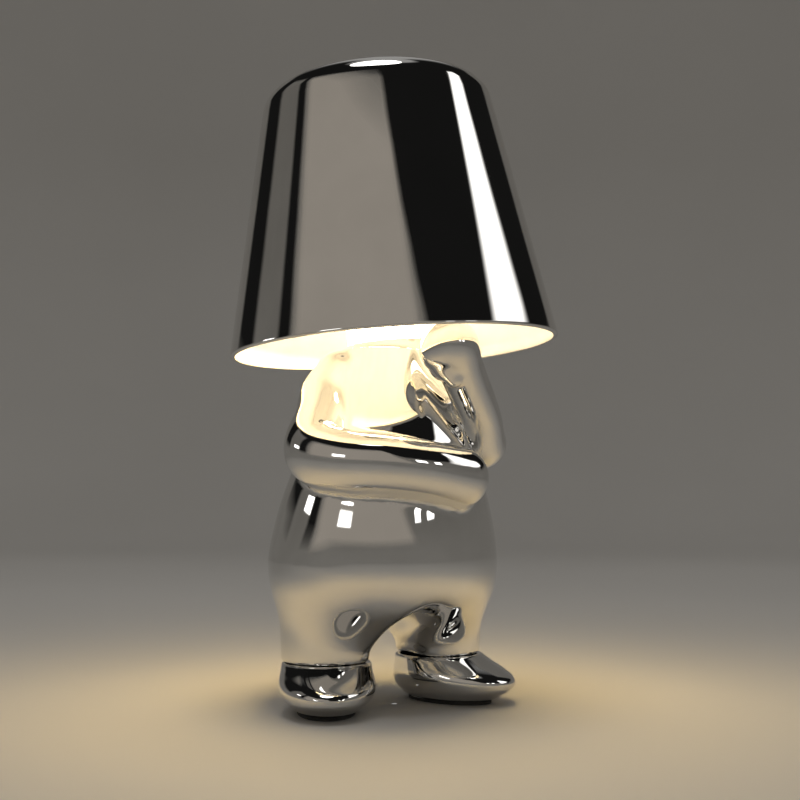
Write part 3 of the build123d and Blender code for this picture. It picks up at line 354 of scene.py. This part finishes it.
def settle(field, vertices, quads, rounds):
    """Even the vertices out along the surface and move them exactly onto it."""
    ends = edges_of(quads)
    count = np.bincount(ends[:, 0], minlength=len(vertices))[:, None]
    for _ in range(rounds):
        vertices = 0.5 * vertices + 0.5 * gathered(ends, vertices[ends[:, 1]], len(vertices)) / count
        for _ in range(2):
            rise = slope(field, vertices)
            steep = np.maximum((rise * rise).sum(1), GENTLEST_SLOPE)
            vertices = vertices - rise * (field(vertices) / steep)[:, None]
    return vertices


ball = settle(ball_field, ball, ball_quads, rounds=2)
print("the ball's vertices now lie within", np.abs(ball_field(ball)).max().round(4), "mm of it")

# %% [markdown]
# ## Polishing the skin
#
# Mirror plate shows every flaw in a mesh. Smooth shading could guess the normals from the
# faces, but that leaves steps in the reflections. So each vertex gets its own normal,
# the slope of the field there, averaged a little with its neighbours, as polishing evens
# out a casting. Where the surface turns sharply the normals aren't mixed.

# %% Polish the skin and make a piece of it
SAME_FACE = 0.94


def polished(normals, quads, rounds):
    """Average normals with those around them, but not across an edge."""
    normals = normals / np.linalg.norm(normals, axis=1)[:, None]
    ends = edges_of(quads)
    for _ in range(rounds):
        alike = (normals[ends[:, 0]] * normals[ends[:, 1]]).sum(1) > SAME_FACE
        normals = normals + gathered(ends, normals[ends[:, 1]] * alike[:, None], len(normals))
        normals = normals / np.linalg.norm(normals, axis=1)[:, None]
    return normals


def skin_piece(name, field, low, high, cell, material):
    """Make a piece from a field, with polished normals and its material."""
    vertices, quads = skin(field, low, high, cell)
    vertices = settle(field, vertices, quads, rounds=2)
    mesh = bpy.data.meshes.new(name)
    mesh.from_pydata(vertices * MM, [], quads.tolist())
    mesh.polygons.foreach_set("use_smooth", [True] * len(mesh.polygons))
    normals = polished(slope(field, vertices), quads, rounds=4)
    mesh.normals_split_custom_set_from_vertices(normals)
    mesh.materials.append(material)
    piece = bpy.data.objects.new(name, mesh)
    bpy.context.scene.collection.objects.link(piece)
    print(name, len(vertices), "vertices")
    return piece


print("normals are mixed up to", np.degrees(np.arccos(SAME_FACE)).round(), "degrees apart")

# %% [markdown]
# ## The torso and the legs
#
# The torso is a turned form: a heavy, round belly that sits low and narrows to the neck.
# Above the belly's widest line its outline is the CAD's own long curve, and below that
# line it closes like the end of an egg. Two stubby legs grow out of it with a wide
# fillet, so that trousers and belly are one form. A chain of balls would look lumpy, so
# each leg is a run of rows with a smooth curve through them.

# %% Shape the torso and the legs
OVER_BELLY = ((1.0, 0.0), (1.0, 0.27), (0.69, 0.62), (0.455, 1.0))
BELLY_DROP = 26.0
SQUARE = 2.3
HEM = 17.0
LEG_OUT = 23.0
TINY = 1e-3


def curve_points(shares, count):
    """Return points along a curve with four control points."""
    t = np.linspace(0, 1, count)[:, None]
    a, b, c, d = (np.array(share) for share in shares)
    return a * (1 - t) ** 3 + 3 * b * t * (1 - t) ** 2 + 3 * c * t * t * (1 - t) + d * t**3


outline = curve_points(OVER_BELLY, count=160) * (BELLY_RADIUS, TORSO_RISE)
lean_in = np.gradient(outline[:, 0], outline[:, 1])


def torso_field(places, inset=0.0):
    """Return the distance to the torso, made smaller all round by the inset."""
    local = (places - belly) @ axes_along(spine).T
    out, height = np.hypot(local[:, 0], local[:, 1]), local[:, 2]
    side = out - np.interp(height, outline[:, 1], outline[:, 0])
    side = side / np.hypot(1, np.interp(height, outline[:, 1], lean_in)) + inset
    wide, deep = BELLY_RADIUS - inset, BELLY_DROP - inset
    across, down = out / wide, np.abs(height) / deep
    share = np.maximum((across**SQUARE + down**SQUARE) ** (1 / SQUARE), TINY)
    steep = share ** (1 - SQUARE) * np.hypot(across ** (SQUARE - 1) / wide, down ** (SQUARE - 1) / deep)
    egg = (share - 1) / np.maximum(steep, TINY)
    return np.maximum(np.where(height < 0, egg, side), height - TORSO_RISE + inset)


def leg_rows(side):
    """Return the rows of one leg, from below its hem up into the belly."""
    rows = ((LEG_OUT, 8.0, 16.0), (LEG_OUT, HEM, 16.0), (22.2, 28.0, 17.2), (17.0, 44.0, 22.8))
    return smooth_rows([(belly[0] + side * out, belly[1], z, r) for out, z, r in rows], steps=8)


legs = [leg_rows(-1), leg_rows(1)]
print("torso outline", len(outline), "points; legs", len(legs[0]), "rows each")

# %% [markdown]
# ## The arms and the hands
#
# The right arm is folded across the chest and ends in a blunt mitten. The left one rests
# its elbow on that hand, and its own hand reaches up to the rim of the shade. Both hands
# are mittens: a palm, one swelling for all the fingers and, on the raised hand, a thumb.
# Curves with a bevel could make them, but wouldn't flow into the chest. As rows of a place
# and a thickness they join the same field as the torso.

# %% Shape the arms and the hands
folded_arm = smooth_rows(
    (
        (-20.5, 4.5, 119, 9.0), (-26.6, 3.5, 111, 9.3), (-30.2, -1.5, 102, 10.1),
        (-36, -9.3, 90.3, 11.5), (-31, -22.2, 86.4, 11.0), (-21.5, -30.6, 85.4, 10.6),
        (-10, -34.8, 83.9, 10.2), (-1, -35.2, 82.3, 10.4), (5.5, -34.4, 81.2, 10.8),
    ),
    steps=12,
)
raised_upper_arm = smooth_rows(
    ((17.5, 4, 119, 9), (24, 1, 110, 9.5), (28, -6, 101, 9.5), (27.2, -15.5, 94.2, 9.4)),
    steps=12,
)
raised_forearm = smooth_rows(
    (
        (25.8, -20.6, 94.6, 7.8), (22.4, -24.4, 102, 7.5), (16.6, -28.1, 109, 7.8),
        (9.7, -32.1, 117.2, 8.0), (1.4, -36.5, 126.7, 9.2),
    ),
    steps=12,
)
fingers = smooth_rows(
    ((1.4, -36.5, 126.0, 8.6), (-1.2, -35.9, 124.9, 7.2), (-3.0, -35.3, 124.0, 6.0)), steps=5
)
thumb = smooth_rows(
    ((-0.4, -32.9, 118.3, 3.2), (-0.4, -36.2, 117.6, 3.1), (2.0, -37.6, 114.6, 2.5)), steps=5
)
print("arms:", len(folded_arm), len(raised_upper_arm), len(raised_forearm), "rows")

# %% [markdown]
# ## The figure's outside
#
# Now the forms are joined: wide fillets where the legs leave the belly, narrow ones where
# the arms are pressed against the chest. An arch is cut between the legs, with its edges
# rounded over, and each leg ends in a rounded hem. One bevel for all these edges would be
# quicker, but on the real casting each corner is filled by a different amount.

# %% Join the figure's outside
ARCH_RADIUS, ARCH_SPRING = 7.2, 28.5
COLLAR_RADIUS, COLLAR_LOW, COLLAR_HIGH = 17.5, -12, 2


def arch_field(places):
    """Return the distance to the way through between the legs."""
    rise = np.maximum(places[:, 2] - ARCH_SPRING, 0)
    return np.hypot(places[:, 0] - belly[0], rise) - ARCH_RADIUS


def outer_field(places):
    """Return the distance to the figure's outer surface."""
    collar = post_field(places, rim, lean, COLLAR_RADIUS, COLLAR_LOW, COLLAR_HIGH)
    field = smooth_union(torso_field(places), collar, width=3.0)
    trousers = smooth_union(limb_field(places, legs[0]), limb_field(places, legs[1]), width=5.0)
    trousers = smooth_common(trousers, HEM - places[:, 2], width=1.6)
    field = smooth_union(field, trousers, width=10.0)
    field = smooth_common(field, -arch_field(places), width=7.0)
    hand = smooth_union(limb_field(places, raised_forearm), limb_field(places, fingers), width=4.0)
    hand = smooth_union(hand, limb_field(places, thumb), width=2.4)
    raised = smooth_union(limb_field(places, raised_upper_arm), hand, width=4.0)
    field = smooth_union(field, raised, width=2.4)
    return smooth_union(field, limb_field(places, folded_arm), width=2.6)


print("the belly's middle lies", -outer_field(belly[None])[0].round(1), "mm under the surface")

# %% [markdown]
# ## The figure's inside
#
# The casting is hollow, so the inside is taken away again: the room for the cell and the
# boards, a bore in each leg, the pocket for the light unit in the neck, and the opening
# for the rear cover. Boolean modifiers could cut these, but they leave thin faces that
# mirror plate would show. In a field a cut is only the larger of two distances.

# %% Hollow the figure out
UP = np.array([0, 0, 1.0])
CASTING_WALL, TORSO_FLOOR, NECK_FLOOR = 3.0, -12.5, 7.6
LEG_BORE_RADIUS, LEG_BORE_TOP = 13.0, 44.0
POCKET_RADIUS, POCKET_FLOOR = 15.0, -4.6
ROD_WAY_RADIUS, ROD_WAY_LOW = 4.3, -20
OVERRUN = 12
HATCH_GAP, HATCH_CORNER, HATCH_START = 0.25, 12.25, 12.0
cover_points = np.array([vertex.co for vertex in nodes["rear_cover"].data.vertices]) / MM
cover_local = (cover_points - belly) @ axes_along(spine).T
hatch_low, hatch_high = cover_local.min(0) - HATCH_GAP, cover_local.max(0) + HATCH_GAP


def ankle_under(side):
    """Return the place on the table under one ankle."""
    return np.array([belly[0] + side * LEG_OUT, belly[1], 0])


def hollow_field(places):
    """Return the distance to the room inside the figure."""
    head_height = (places - rim) @ lean
    floor = TORSO_FLOOR - (places - belly) @ spine
    room = np.maximum(torso_field(places, CASTING_WALL), np.maximum(head_height + NECK_FLOOR, floor))
    for side in (-1, 1):
        bore = post_field(places, ankle_under(side), UP, LEG_BORE_RADIUS, 0, LEG_BORE_TOP)
        room = np.minimum(room, bore)
    pocket = post_field(places, rim, lean, POCKET_RADIUS, POCKET_FLOOR, OVERRUN)
    rod_way = post_field(places, rim, lean, ROD_WAY_RADIUS, ROD_WAY_LOW, OVERRUN)
    return np.minimum(room, np.minimum(pocket, rod_way))


def hatch_field(places):
    """Return the distance to the rounded prism that cuts the rear opening."""
    local = (places - belly) @ axes_along(spine).T
    middle, half = (hatch_low + hatch_high) / 2, (hatch_high - hatch_low) / 2
    over = np.abs(local[:, (0, 2)] - middle[[0, 2]]) - half[[0, 2]] + HATCH_CORNER
    edge = np.hypot(np.maximum(over[:, 0], 0), np.maximum(over[:, 1], 0)) - HATCH_CORNER
    edge = edge + np.minimum(np.maximum(over[:, 0], over[:, 1]), 0)
    return np.maximum(edge, HATCH_START - local[:, 1])


print("rear opening in mm:", (hatch_high - hatch_low)[[0, 2]].round(1))

# %% [markdown]
# ## The figure's skin
#
# Torso, legs and arms are five nodes in the frame, but plating hides the joints between
# them, so one skin stands for all five.


# %% Draw the figure
def figure_field(places):
    """Return the distance to the hollow figure's metal."""
    shell = np.maximum(outer_field(places), -hollow_field(places))
    return smooth_common(shell, -hatch_field(places), width=0.8)


cell = 0.8
figure = skin_piece("figure_skin", figure_field, (-50, -49, 14), (48, 48, 140), cell, chrome)
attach(figure, "lamp_base")
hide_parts("torso_casting", "right_leg", "left_leg", "folded_arm", "raised_arm")

# %% [markdown]
# ## The shoes
#
# The figure stands on two rounded shoes, toes turned out. Each is an oval that changes
# with height: small at the sole, longest just above it, and drawn in to the ankle. A fine
# welt line runs round above the sole. Inside is a pocket for the steel slug that keeps
# the lamp from tipping. A squashed ball would lack the flat sole and the drawn-in ankle,
# so the oval's middle, length and width follow curves through five heights.

# %% Make the shoes
TOES_OUT = radians(24)
SHOE_TOP, SOLE_TOP, HEM_GAP = 18, 1.2, 0.05
WELT_HEIGHT, WELT_WIDTH, WELT_DEPTH = 3.4, 0.45, 0.3
SLUG_ROOM_RADIUS, SLUG_ROOM_TOP = 9.7, 10.3
SCREW_WAY_RADIUS, SCREW_WAY_TOP = 2.3, 20
SHOE_CELL, SHOE_MARGIN = 0.7, 3
shoe_rows = np.array(
    (
        (1.2, 5.9, 18.0, 11.0), (4.4, 6.6, 22.4, 14.6), (7.5, 7.4, 24.6, 16.6),
        (12.3, 4.9, 21.6, 16.6), (17.0, 1.0, 17.0, 16.3),
    )
)
shoe_curves = [np.polyfit(shoe_rows[:, 0], shoe_rows[:, column], 4) for column in (1, 2, 3)]


def shoe_field(side):
    """Return the rule for the distance to one shoe."""
    ankle = ankle_under(side)
    toe = np.array([side * sin(TOES_OUT), -cos(TOES_OUT), 0])
    across = np.array([toe[1], -toe[0], 0])

    def field(places):
        local = places - ankle
        height = np.clip(local[:, 2], 0, SHOE_TOP)
        middle, length, width = (np.polyval(curve, height) for curve in shoe_curves)
        along, beside = local @ toe - middle, local @ across
        round_out = np.hypot(along / length, beside / width)
        form = (round_out - 1) * np.minimum(length, width)
        form = form + WELT_DEPTH * np.exp(-(((local[:, 2] - WELT_HEIGHT) / WELT_WIDTH) ** 2))
        form = smooth_common(form, SOLE_TOP - local[:, 2], width=1.6)
        form = smooth_common(form, local[:, 2] - HEM + HEM_GAP, width=1.8)
        pocket = post_field(places, ankle, UP, SLUG_ROOM_RADIUS, 0, SLUG_ROOM_TOP)
        screw_way = post_field(places, ankle, UP, SCREW_WAY_RADIUS, 0, SCREW_WAY_TOP)
        return np.maximum(form, -np.minimum(pocket, screw_way))

    return field


for side, name in ((-1, "right"), (1, "left")):
    low, high = (np.array(corner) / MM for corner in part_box(name + "_foot"))
    top_corner = (high[0] + SHOE_MARGIN, high[1] + SHOE_MARGIN, SCREW_WAY_TOP)
    shoe = skin_piece(name + "_shoe", shoe_field(side), low - SHOE_MARGIN, top_corner, SHOE_CELL, chrome)
    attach(shoe, "lamp_base")
    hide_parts(name + "_foot")

# %% [markdown]
# ## The white inside of the shade
#
# The shade is sprayed white inside, so that it throws the light down and glows. Sprayed
# enamel isn't one flat white: it has faint specks and the dimpled surface of orange peel.
# Two noises of different sizes give it both.

# %% Make the white enamel
white_inside, tree, shader = start_material("white_enamel")
speck = noise_on(tree, scale=90.0)
two_tones(tree, speck, shader.inputs["Base Color"], (0.86, 0.84, 0.79), (0.91, 0.89, 0.85))
spread(tree, speck, shader.inputs["Roughness"], 0.42, 0.55)
peel = noise_on(tree, scale=700.0)
ripple(tree, peel, shader, strength=0.15, depth=0.0001)
print("enamel:", white_inside.name)

# %% [markdown]
# ## Turning a line
#
# A spun form is a line turned round an axis. Blender's screw modifier does that too, but
# here the axis leans and two materials share the line, so the rings are written out.


# %% Make the tools for turning
def round_corner(before, corner, after, radius, steps):
    """Return an arc that replaces a corner between two straight lines."""
    before, corner, after = (np.array(p, float) for p in (before, corner, after))
    back = (before - corner) / np.linalg.norm(before - corner)
    onward = (after - corner) / np.linalg.norm(after - corner)
    half = np.arccos(np.clip(back @ onward, -1, 1)) / 2
    middle = corner + (back + onward) / np.linalg.norm(back + onward) * radius / np.sin(half)
    start, end = corner + back * radius / np.tan(half), corner + onward * radius / np.tan(half)
    first = np.arctan2(*(start - middle)[::-1])
    sweep = np.arctan2(*(end - middle)[::-1]) - first
    sweep = (sweep + pi) % (2 * pi) - pi
    turns = first + sweep * np.linspace(0, 1, steps + 1)
    return middle + radius * np.stack([np.cos(turns), np.sin(turns)], 1)


def divided(points, longest):
    """Divide the long runs of a line, so that each step is at most this long."""
    line = [points[0]]
    for start, end in zip(points, points[1:]):
        count = max(1, int(np.ceil(np.linalg.norm(end - start) / longest)))
        line += [start + (end - start) * (i + 1) / count for i in range(count)]
    return np.array(line)


def turned(name, line, foot, direction, around, materials, change):
    """Turn a line of radius and height round an axis.

    Faces from the row called change on take the second material.
    """
    axes = axes_along(direction)
    angles = 2 * pi * np.arange(around) / around
    ring = np.stack([np.cos(angles), np.sin(angles), 0 * angles], 1)
    vertices = [foot + (ring * radius) @ axes + direction * height for radius, height in line]
    mesh = bpy.data.meshes.new(name)
    faces = []
    for row in range(len(line) - 1):
        low, high = row * around, (row + 1) * around
        for i in range(around):
            j = (i + 1) % around
            faces.append((low + i, low + j, high + j, high + i))
    mesh.from_pydata(np.vstack(vertices) * MM, [], faces)
    mesh.polygons.foreach_set("use_smooth", [True] * len(faces))
    for material in materials:
        mesh.materials.append(material)
    mesh.polygons.foreach_set("material_index", [int(i // around >= change) for i in range(len(faces))])
    piece = bpy.data.objects.new(name, mesh)
    bpy.context.scene.collection.objects.link(piece)
    print(name, len(mesh.vertices), "vertices")
    return piece


print("a square corner in 4 steps:", len(round_corner((0, 1), (0, 0), (1, 0), 0.5, 4)), "points")

# %% [markdown]
# ## The shade
#
# The shade is spun from thin sheet metal: a tapered bucket with a closed, rounded top and
# a thicker, turned-in hem. A cone with a solidify modifier would have neither the rounded
# crown nor the hem, so its whole outline is drawn, outside and inside. A row just above
# the hem keeps the hem's rounding from bending the reflections in the wall.

# %% Spin the shade
RIM_RADIUS, CROWN_RADIUS, SHADE_HEIGHT, WALL = 60.9, 41.9, 98.4, 1.2
CROWN_ROUND, INNER_ROUND, HEM_ROUND = 9.2, 8.0, 0.6
HEM_WIDTH, HEM_HEIGHT, HEM_GUARD = 2.0, 2.6, 1.1
PINHOLE, LONGEST_STEP, AROUND, ENAMEL_ROWS = 0.05, 3.0, 288, 4
wall_run = np.array([CROWN_RADIUS - RIM_RADIUS, SHADE_HEIGHT])
taper = wall_run / np.hypot(RIM_RADIUS - CROWN_RADIUS, SHADE_HEIGHT)
inward = np.array([-taper[1], taper[0]])
rim_edge, crown_edge = np.array([RIM_RADIUS, 0.0]), np.array([CROWN_RADIUS, SHADE_HEIGHT])
inner_crown = crown_edge + inward * WALL
inner_crown = inner_crown - taper * (inner_crown[1] - SHADE_HEIGHT + WALL) / taper[1]
hem_top = rim_edge + inward * HEM_WIDTH + taper * HEM_HEIGHT
hem_in = np.array([hem_top[0] - taper[0] / taper[1] * hem_top[1], 0.0])
ceiling = SHADE_HEIGHT - WALL
outside = np.vstack(
    [
        [(PINHOLE, SHADE_HEIGHT)],
        round_corner((0, SHADE_HEIGHT), crown_edge, rim_edge, CROWN_ROUND, 14),
        [rim_edge + taper * HEM_GUARD],
        round_corner(crown_edge, rim_edge, hem_in, HEM_ROUND, 5),
        round_corner(rim_edge, hem_in, hem_top, HEM_ROUND, 5),
    ]
)
inside = np.vstack(
    [
        [hem_top, hem_top - inward * (HEM_WIDTH - WALL)],
        round_corner(rim_edge + inward * WALL, inner_crown, (0, ceiling), INNER_ROUND, 12),
        [(PINHOLE, ceiling)],
    ]
)
outside, inside = divided(outside, LONGEST_STEP), divided(inside, LONGEST_STEP)
shade_line = np.vstack([outside, inside])
enamel_start = len(outside) - ENAMEL_ROWS
shade = turned("shade_bucket", shade_line, rim, lean, AROUND, (chrome, white_inside), enamel_start)
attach(shade, "shade")
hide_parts("shade_shell")

# %% [markdown]
# ## The light
#
# Under the shade an opal dome spreads the light of eight small LEDs. Opal plastic scatters
# light so well that the whole dome glows. Light could be traced through the plastic, but
# that is slow and noisy, so the dome's own surface shines in a warm white, a little
# uneven, as a moulding is.

# %% Light the diffuser
opal, tree, shader = start_material("lit_opal")
cloud = noise_on(tree, scale=120.0)
two_tones(tree, cloud, shader.inputs["Base Color"], (0.88, 0.85, 0.78), (0.94, 0.92, 0.86))
two_tones(tree, cloud, shader.inputs["Emission Color"], (1.0, 0.80, 0.53), (1.0, 0.84, 0.58))
shader.inputs["Emission Strength"].default_value = 9.0
shader.inputs["Roughness"].default_value = 0.4
print("diffuser glows in", opal.name)

# %% [markdown]
# ## Finishes of the smaller parts
#
# Most of the other parts are hidden inside, but a reader who opens the lamp should find
# each in its own material: zinc-plated screws with turning marks, moulded plastic with
# a fine grain, a green circuit board with the shine of its mask, the shrink wrap of the
# cell, rubber soles with a dusty bloom, and soft lead insulation. Each could have a tree
# of its own, but they are only two kinds, metal with marks and mouldings with a grain.


# %% Make the smaller finishes
def brushed(name, dark, light, smooth, rough, stretch):
    """Make a turned or brushed metal, with fine marks along one direction."""
    material, tree, shader = start_material(name)
    shader.inputs["Metallic"].default_value = 1.0
    marks = noise_on(tree, 260.0, 4.0, stretch)
    two_tones(tree, marks, shader.inputs["Base Color"], dark, light)
    spread(tree, marks, shader.inputs["Roughness"], smooth, rough)
    ripple(tree, marks, shader, strength=0.12, depth=0.0001)
    return material


def moulded(name, dark, light, smooth, rough, grain, depth=0.0001):
    """Make a moulded material: two tones, a roughness range and a grain."""
    material, tree, shader = start_material(name)
    tint = noise_on(tree, scale=70.0)
    two_tones(tree, tint, shader.inputs["Base Color"], dark, light)
    texture = noise_on(tree, grain, detail=5.0)
    spread(tree, texture, shader.inputs["Roughness"], smooth, rough)
    ripple(tree, texture, shader, strength=0.3, depth=depth)
    return material


finishes = {
    "chrome_plate": chrome,
    "button_metal": satin,
    "opal": opal,
    "steel": brushed("zinc_steel", (0.46, 0.47, 0.48), (0.62, 0.62, 0.62), 0.24, 0.4, (1, 1, 9)),
    "nickel": brushed("bright_nickel", (0.58, 0.55, 0.49), (0.70, 0.68, 0.62), 0.14, 0.26, (1, 1, 4)),
    "aluminium": brushed(
        "turned_aluminium", (0.68, 0.69, 0.70), (0.80, 0.81, 0.82), 0.28, 0.42, (1, 1, 12)
    ),
    "rubber": moulded(
        "sole_rubber", (0.025, 0.025, 0.025), (0.055, 0.053, 0.05), 0.7, 0.9, 900.0, depth=0.0002
    ),
    "black_plastic": moulded(
        "black_moulding", (0.018, 0.018, 0.02), (0.035, 0.035, 0.038), 0.38, 0.55, 1400.0
    ),
    "ivory_plastic": moulded(
        "ivory_moulding", (0.70, 0.66, 0.55), (0.80, 0.76, 0.66), 0.35, 0.5, 1400.0
    ),
    "circuit_board": moulded(
        "solder_mask", (0.008, 0.07, 0.03), (0.015, 0.11, 0.05), 0.22, 0.42, 420.0
    ),
    "led": moulded("led_phosphor", (0.80, 0.60, 0.12), (0.90, 0.74, 0.24), 0.3, 0.45, 900.0),
    "clear_plastic": moulded(
        "frosted_clear", (0.62, 0.68, 0.70), (0.76, 0.80, 0.82), 0.12, 0.25, 500.0
    ),
    "cell_wrap": moulded("shrink_wrap", (0.012, 0.07, 0.21), (0.02, 0.10, 0.28), 0.2, 0.34, 160.0),
    "red_wire": moulded(
        "red_insulation", (0.30, 0.008, 0.006), (0.42, 0.015, 0.012), 0.45, 0.6, 900.0
    ),
    "black_wire": moulded(
        "black_insulation", (0.01, 0.01, 0.01), (0.025, 0.025, 0.025), 0.45, 0.6, 900.0
    ),
}
for part in frame["record"]["subparts"]:
    mesh = nodes[part["node"]].data
    mesh.materials.clear()
    mesh.materials.append(finishes[part["material_slot"]])
print("finishes:", len(finishes))

# %% [markdown]
# ## The studio
#
# Chrome has no colour of its own: it shows the room. The lamp stands in a pale, round
# studio whose floor curves up into the wall. A flat floor and a backdrop would put a hard
# line into every reflection, so floor and wall are one turned line.

# %% Build the studio
ROOM_RADIUS, ROOM_HEIGHT, COVE_RADIUS = 2.2, 2.6, 0.9
FLOOR_STEP = 0.2
FLOOR_MIDDLE = (0.001, 0.0)
studio, tree, shader = start_material("studio_paint")
patch = noise_on(tree, scale=1.5)
two_tones(tree, patch, shader.inputs["Base Color"], (0.60, 0.585, 0.56), (0.64, 0.625, 0.60))
spread(tree, patch, shader.inputs["Roughness"], 0.55, 0.7)
wall = round_corner((0, 0), (ROOM_RADIUS, 0), (ROOM_RADIUS, ROOM_HEIGHT), COVE_RADIUS, 16)
floor_line = divided(np.vstack([[FLOOR_MIDDLE], wall]), FLOOR_STEP)
line = np.vstack([floor_line, [(ROOM_RADIUS, ROOM_HEIGHT)]])
cove = turned("studio", line / MM, np.zeros(3), UP, 96, (studio,), len(line))

# %% [markdown]
# ## Lights and cloths that the metal sees
#
# Round the lamp hang a tall white light, four small windows, a wide, dim haze and black
# cloths, one of them a canopy over the top. The camera doesn't see them, but the metal
# does: they draw the dark and bright bands that run down the shade. An image of a studio
# could do the same, but sheets can be moved one at a time until each band is right.

# %% Hang the lights and the cloths
CAMERA_BESIDE, CAMERA_AHEAD = 0.5, 0.866
SHEET_MIDDLE = 0.13
END_FADE = 0.12


def glow(name, strength, colour=(1.0, 0.98, 0.95, 1)):
    """Make a sheet that fades out at its edges: a soft light, or a black cloth when it is weak."""
    material = bpy.data.materials.new(name)
    material.use_nodes = True
    tree = material.node_tree
    tree.nodes.clear()
    light = tree.nodes.new("ShaderNodeEmission")
    light.inputs["Color"].default_value = colour
    light.inputs["Strength"].default_value = strength
    cover = tree.nodes.new("ShaderNodeAttribute")
    cover.attribute_name = "cover"
    mix = tree.nodes.new("ShaderNodeMixShader")
    clear = tree.nodes.new("ShaderNodeBsdfTransparent")
    output = tree.nodes.new("ShaderNodeOutputMaterial")
    tree.links.new(cover.outputs["Fac"], mix.inputs[0])
    tree.links.new(clear.outputs["BSDF"], mix.inputs[1])
    tree.links.new(light.outputs["Emission"], mix.inputs[2])
    tree.links.new(mix.outputs["Shader"], output.inputs["Surface"])
    return material


def hang(name, foot, head, low, high, material, fade=0.12, distance=0.9):
    """Hang a curved sheet round the lamp.

    Foot and head are its sides at the bottom and at the top, low and high its height, all in
    degrees: round from the camera to its right, and up. It fades out at the sides over a share
    of its width.
    """
    columns, rows = np.linspace(0, 1, 33), np.linspace(0, 1, 9)
    vertices, cover = [], []
    for share in rows:
        rise = radians(low + (high - low) * share)
        start, end = (a + (b - a) * share for a, b in zip(foot, head))
        for column in columns:
            turn_angle = radians(start + (end - start) * column)
            ahead, beside = cos(turn_angle), sin(turn_angle)
            x = -CAMERA_BESIDE * ahead + CAMERA_AHEAD * beside
            y = -CAMERA_AHEAD * ahead - CAMERA_BESIDE * beside
            height = SHEET_MIDDLE + distance * np.tan(rise)
            vertices.append(Vector((x, y, 0)) * distance + Vector((0, 0, height)))
            edge = min(1.0, min(column, 1 - column) / fade, min(share, 1 - share) / END_FADE)
            cover.append(edge * edge * (3 - 2 * edge))
    count = len(columns)
    faces = []
    for row in range(len(rows) - 1):
        under, over = row * count, (row + 1) * count
        faces += [(under + i, under + i + 1, over + i + 1, over + i) for i in range(count - 1)]
    mesh = bpy.data.meshes.new(name)
    mesh.from_pydata(vertices, [], faces)
    mesh.attributes.new("cover", "FLOAT", "POINT").data.foreach_set("value", cover)
    mesh.materials.append(material)
    sheet = bpy.data.objects.new(name, mesh)
    bpy.context.scene.collection.objects.link(sheet)
    sheet.visible_camera = False
    sheet.visible_shadow = False
    sheet.visible_diffuse = False


cloth = glow("black_cloth", strength=0.008)
window = glow("window", strength=3.0)
strip = glow("strip_light", strength=1.8)
haze = glow("haze", strength=0.31, colour=(1.0, 0.90, 0.78, 1))
hang("haze_front", (-74, 38), (-78, 8), 4, 45, haze, fade=0.08, distance=0.92)
hang("canopy", (-160, 160), (-160, 160), 43, 76, cloth, fade=0.05, distance=0.94)
hang("cloth_front", (28, 84), (-23, 84), 22, 62, cloth, fade=0.06)
hang("cloth_right", (96, 140), (92, 140), 12, 62, cloth)
hang("cloth_left", (-138, -108), (-138, -108), 6, 62, cloth, fade=0.2)
hang("cloth_left_narrow", (-88, -71), (-88, -79), 6, 62, cloth, fade=0.3)
hang("strip_right", (65, 110), (85, 96), 21, 50, strip, fade=0.2, distance=0.88)
hang("window_left", (-94, -82), (-94, -82), 8, 14.6, window, fade=0.15, distance=0.36)
hang("window_front", (-48, -32), (-48, -32), 7, 15.5, window, fade=0.15, distance=0.36)
hang("window_right", (31, 38), (31, 38), 8, 16, window, fade=0.15, distance=0.36)
hang("window_right_small", (44, 53), (44, 53), 8, 16, window, fade=0.15, distance=0.36)

# %% [markdown]
# ## The lamps
#
# A soft light hangs high over the lamp and a dim sky fills the shadows. The warm pool on
# the floor comes from the diffuser. Its light has to leave the shade in many small steps,
# which is noisy, so a warm disc in the shade's mouth stands for it. The metal and the
# camera don't see the disc.


# %% Set the lamps
def disc_light(name, size, energy, colour, place):
    """Make a round area light that shines down."""
    light = bpy.data.objects.new(name, bpy.data.lights.new(name, "AREA"))
    bpy.context.scene.collection.objects.link(light)
    light.data.shape = "DISK"
    light.data.size = size
    light.data.energy = energy
    light.data.color = colour
    light.location = place
    return light


overhead = disc_light("overhead", 0.7, 4.5, (1.0, 0.98, 0.95), (-0.22, -0.22, 1.5))
pool = disc_light("light_pool", 0.1, 0.42, (1.0, 0.70, 0.27), (0, 0, rim[2] * MM + 0.004))
pool.visible_glossy = False
pool.visible_camera = False

world = bpy.data.worlds.new("studio_sky")
bpy.context.scene.world = world
world.use_nodes = True
sky = world.node_tree.nodes["Background"]
sky.inputs["Color"].default_value = (1.0, 0.98, 0.95, 1)
sky.inputs["Strength"].default_value = 0.33
print("lamps:", overhead.name, pool.name, world.name)
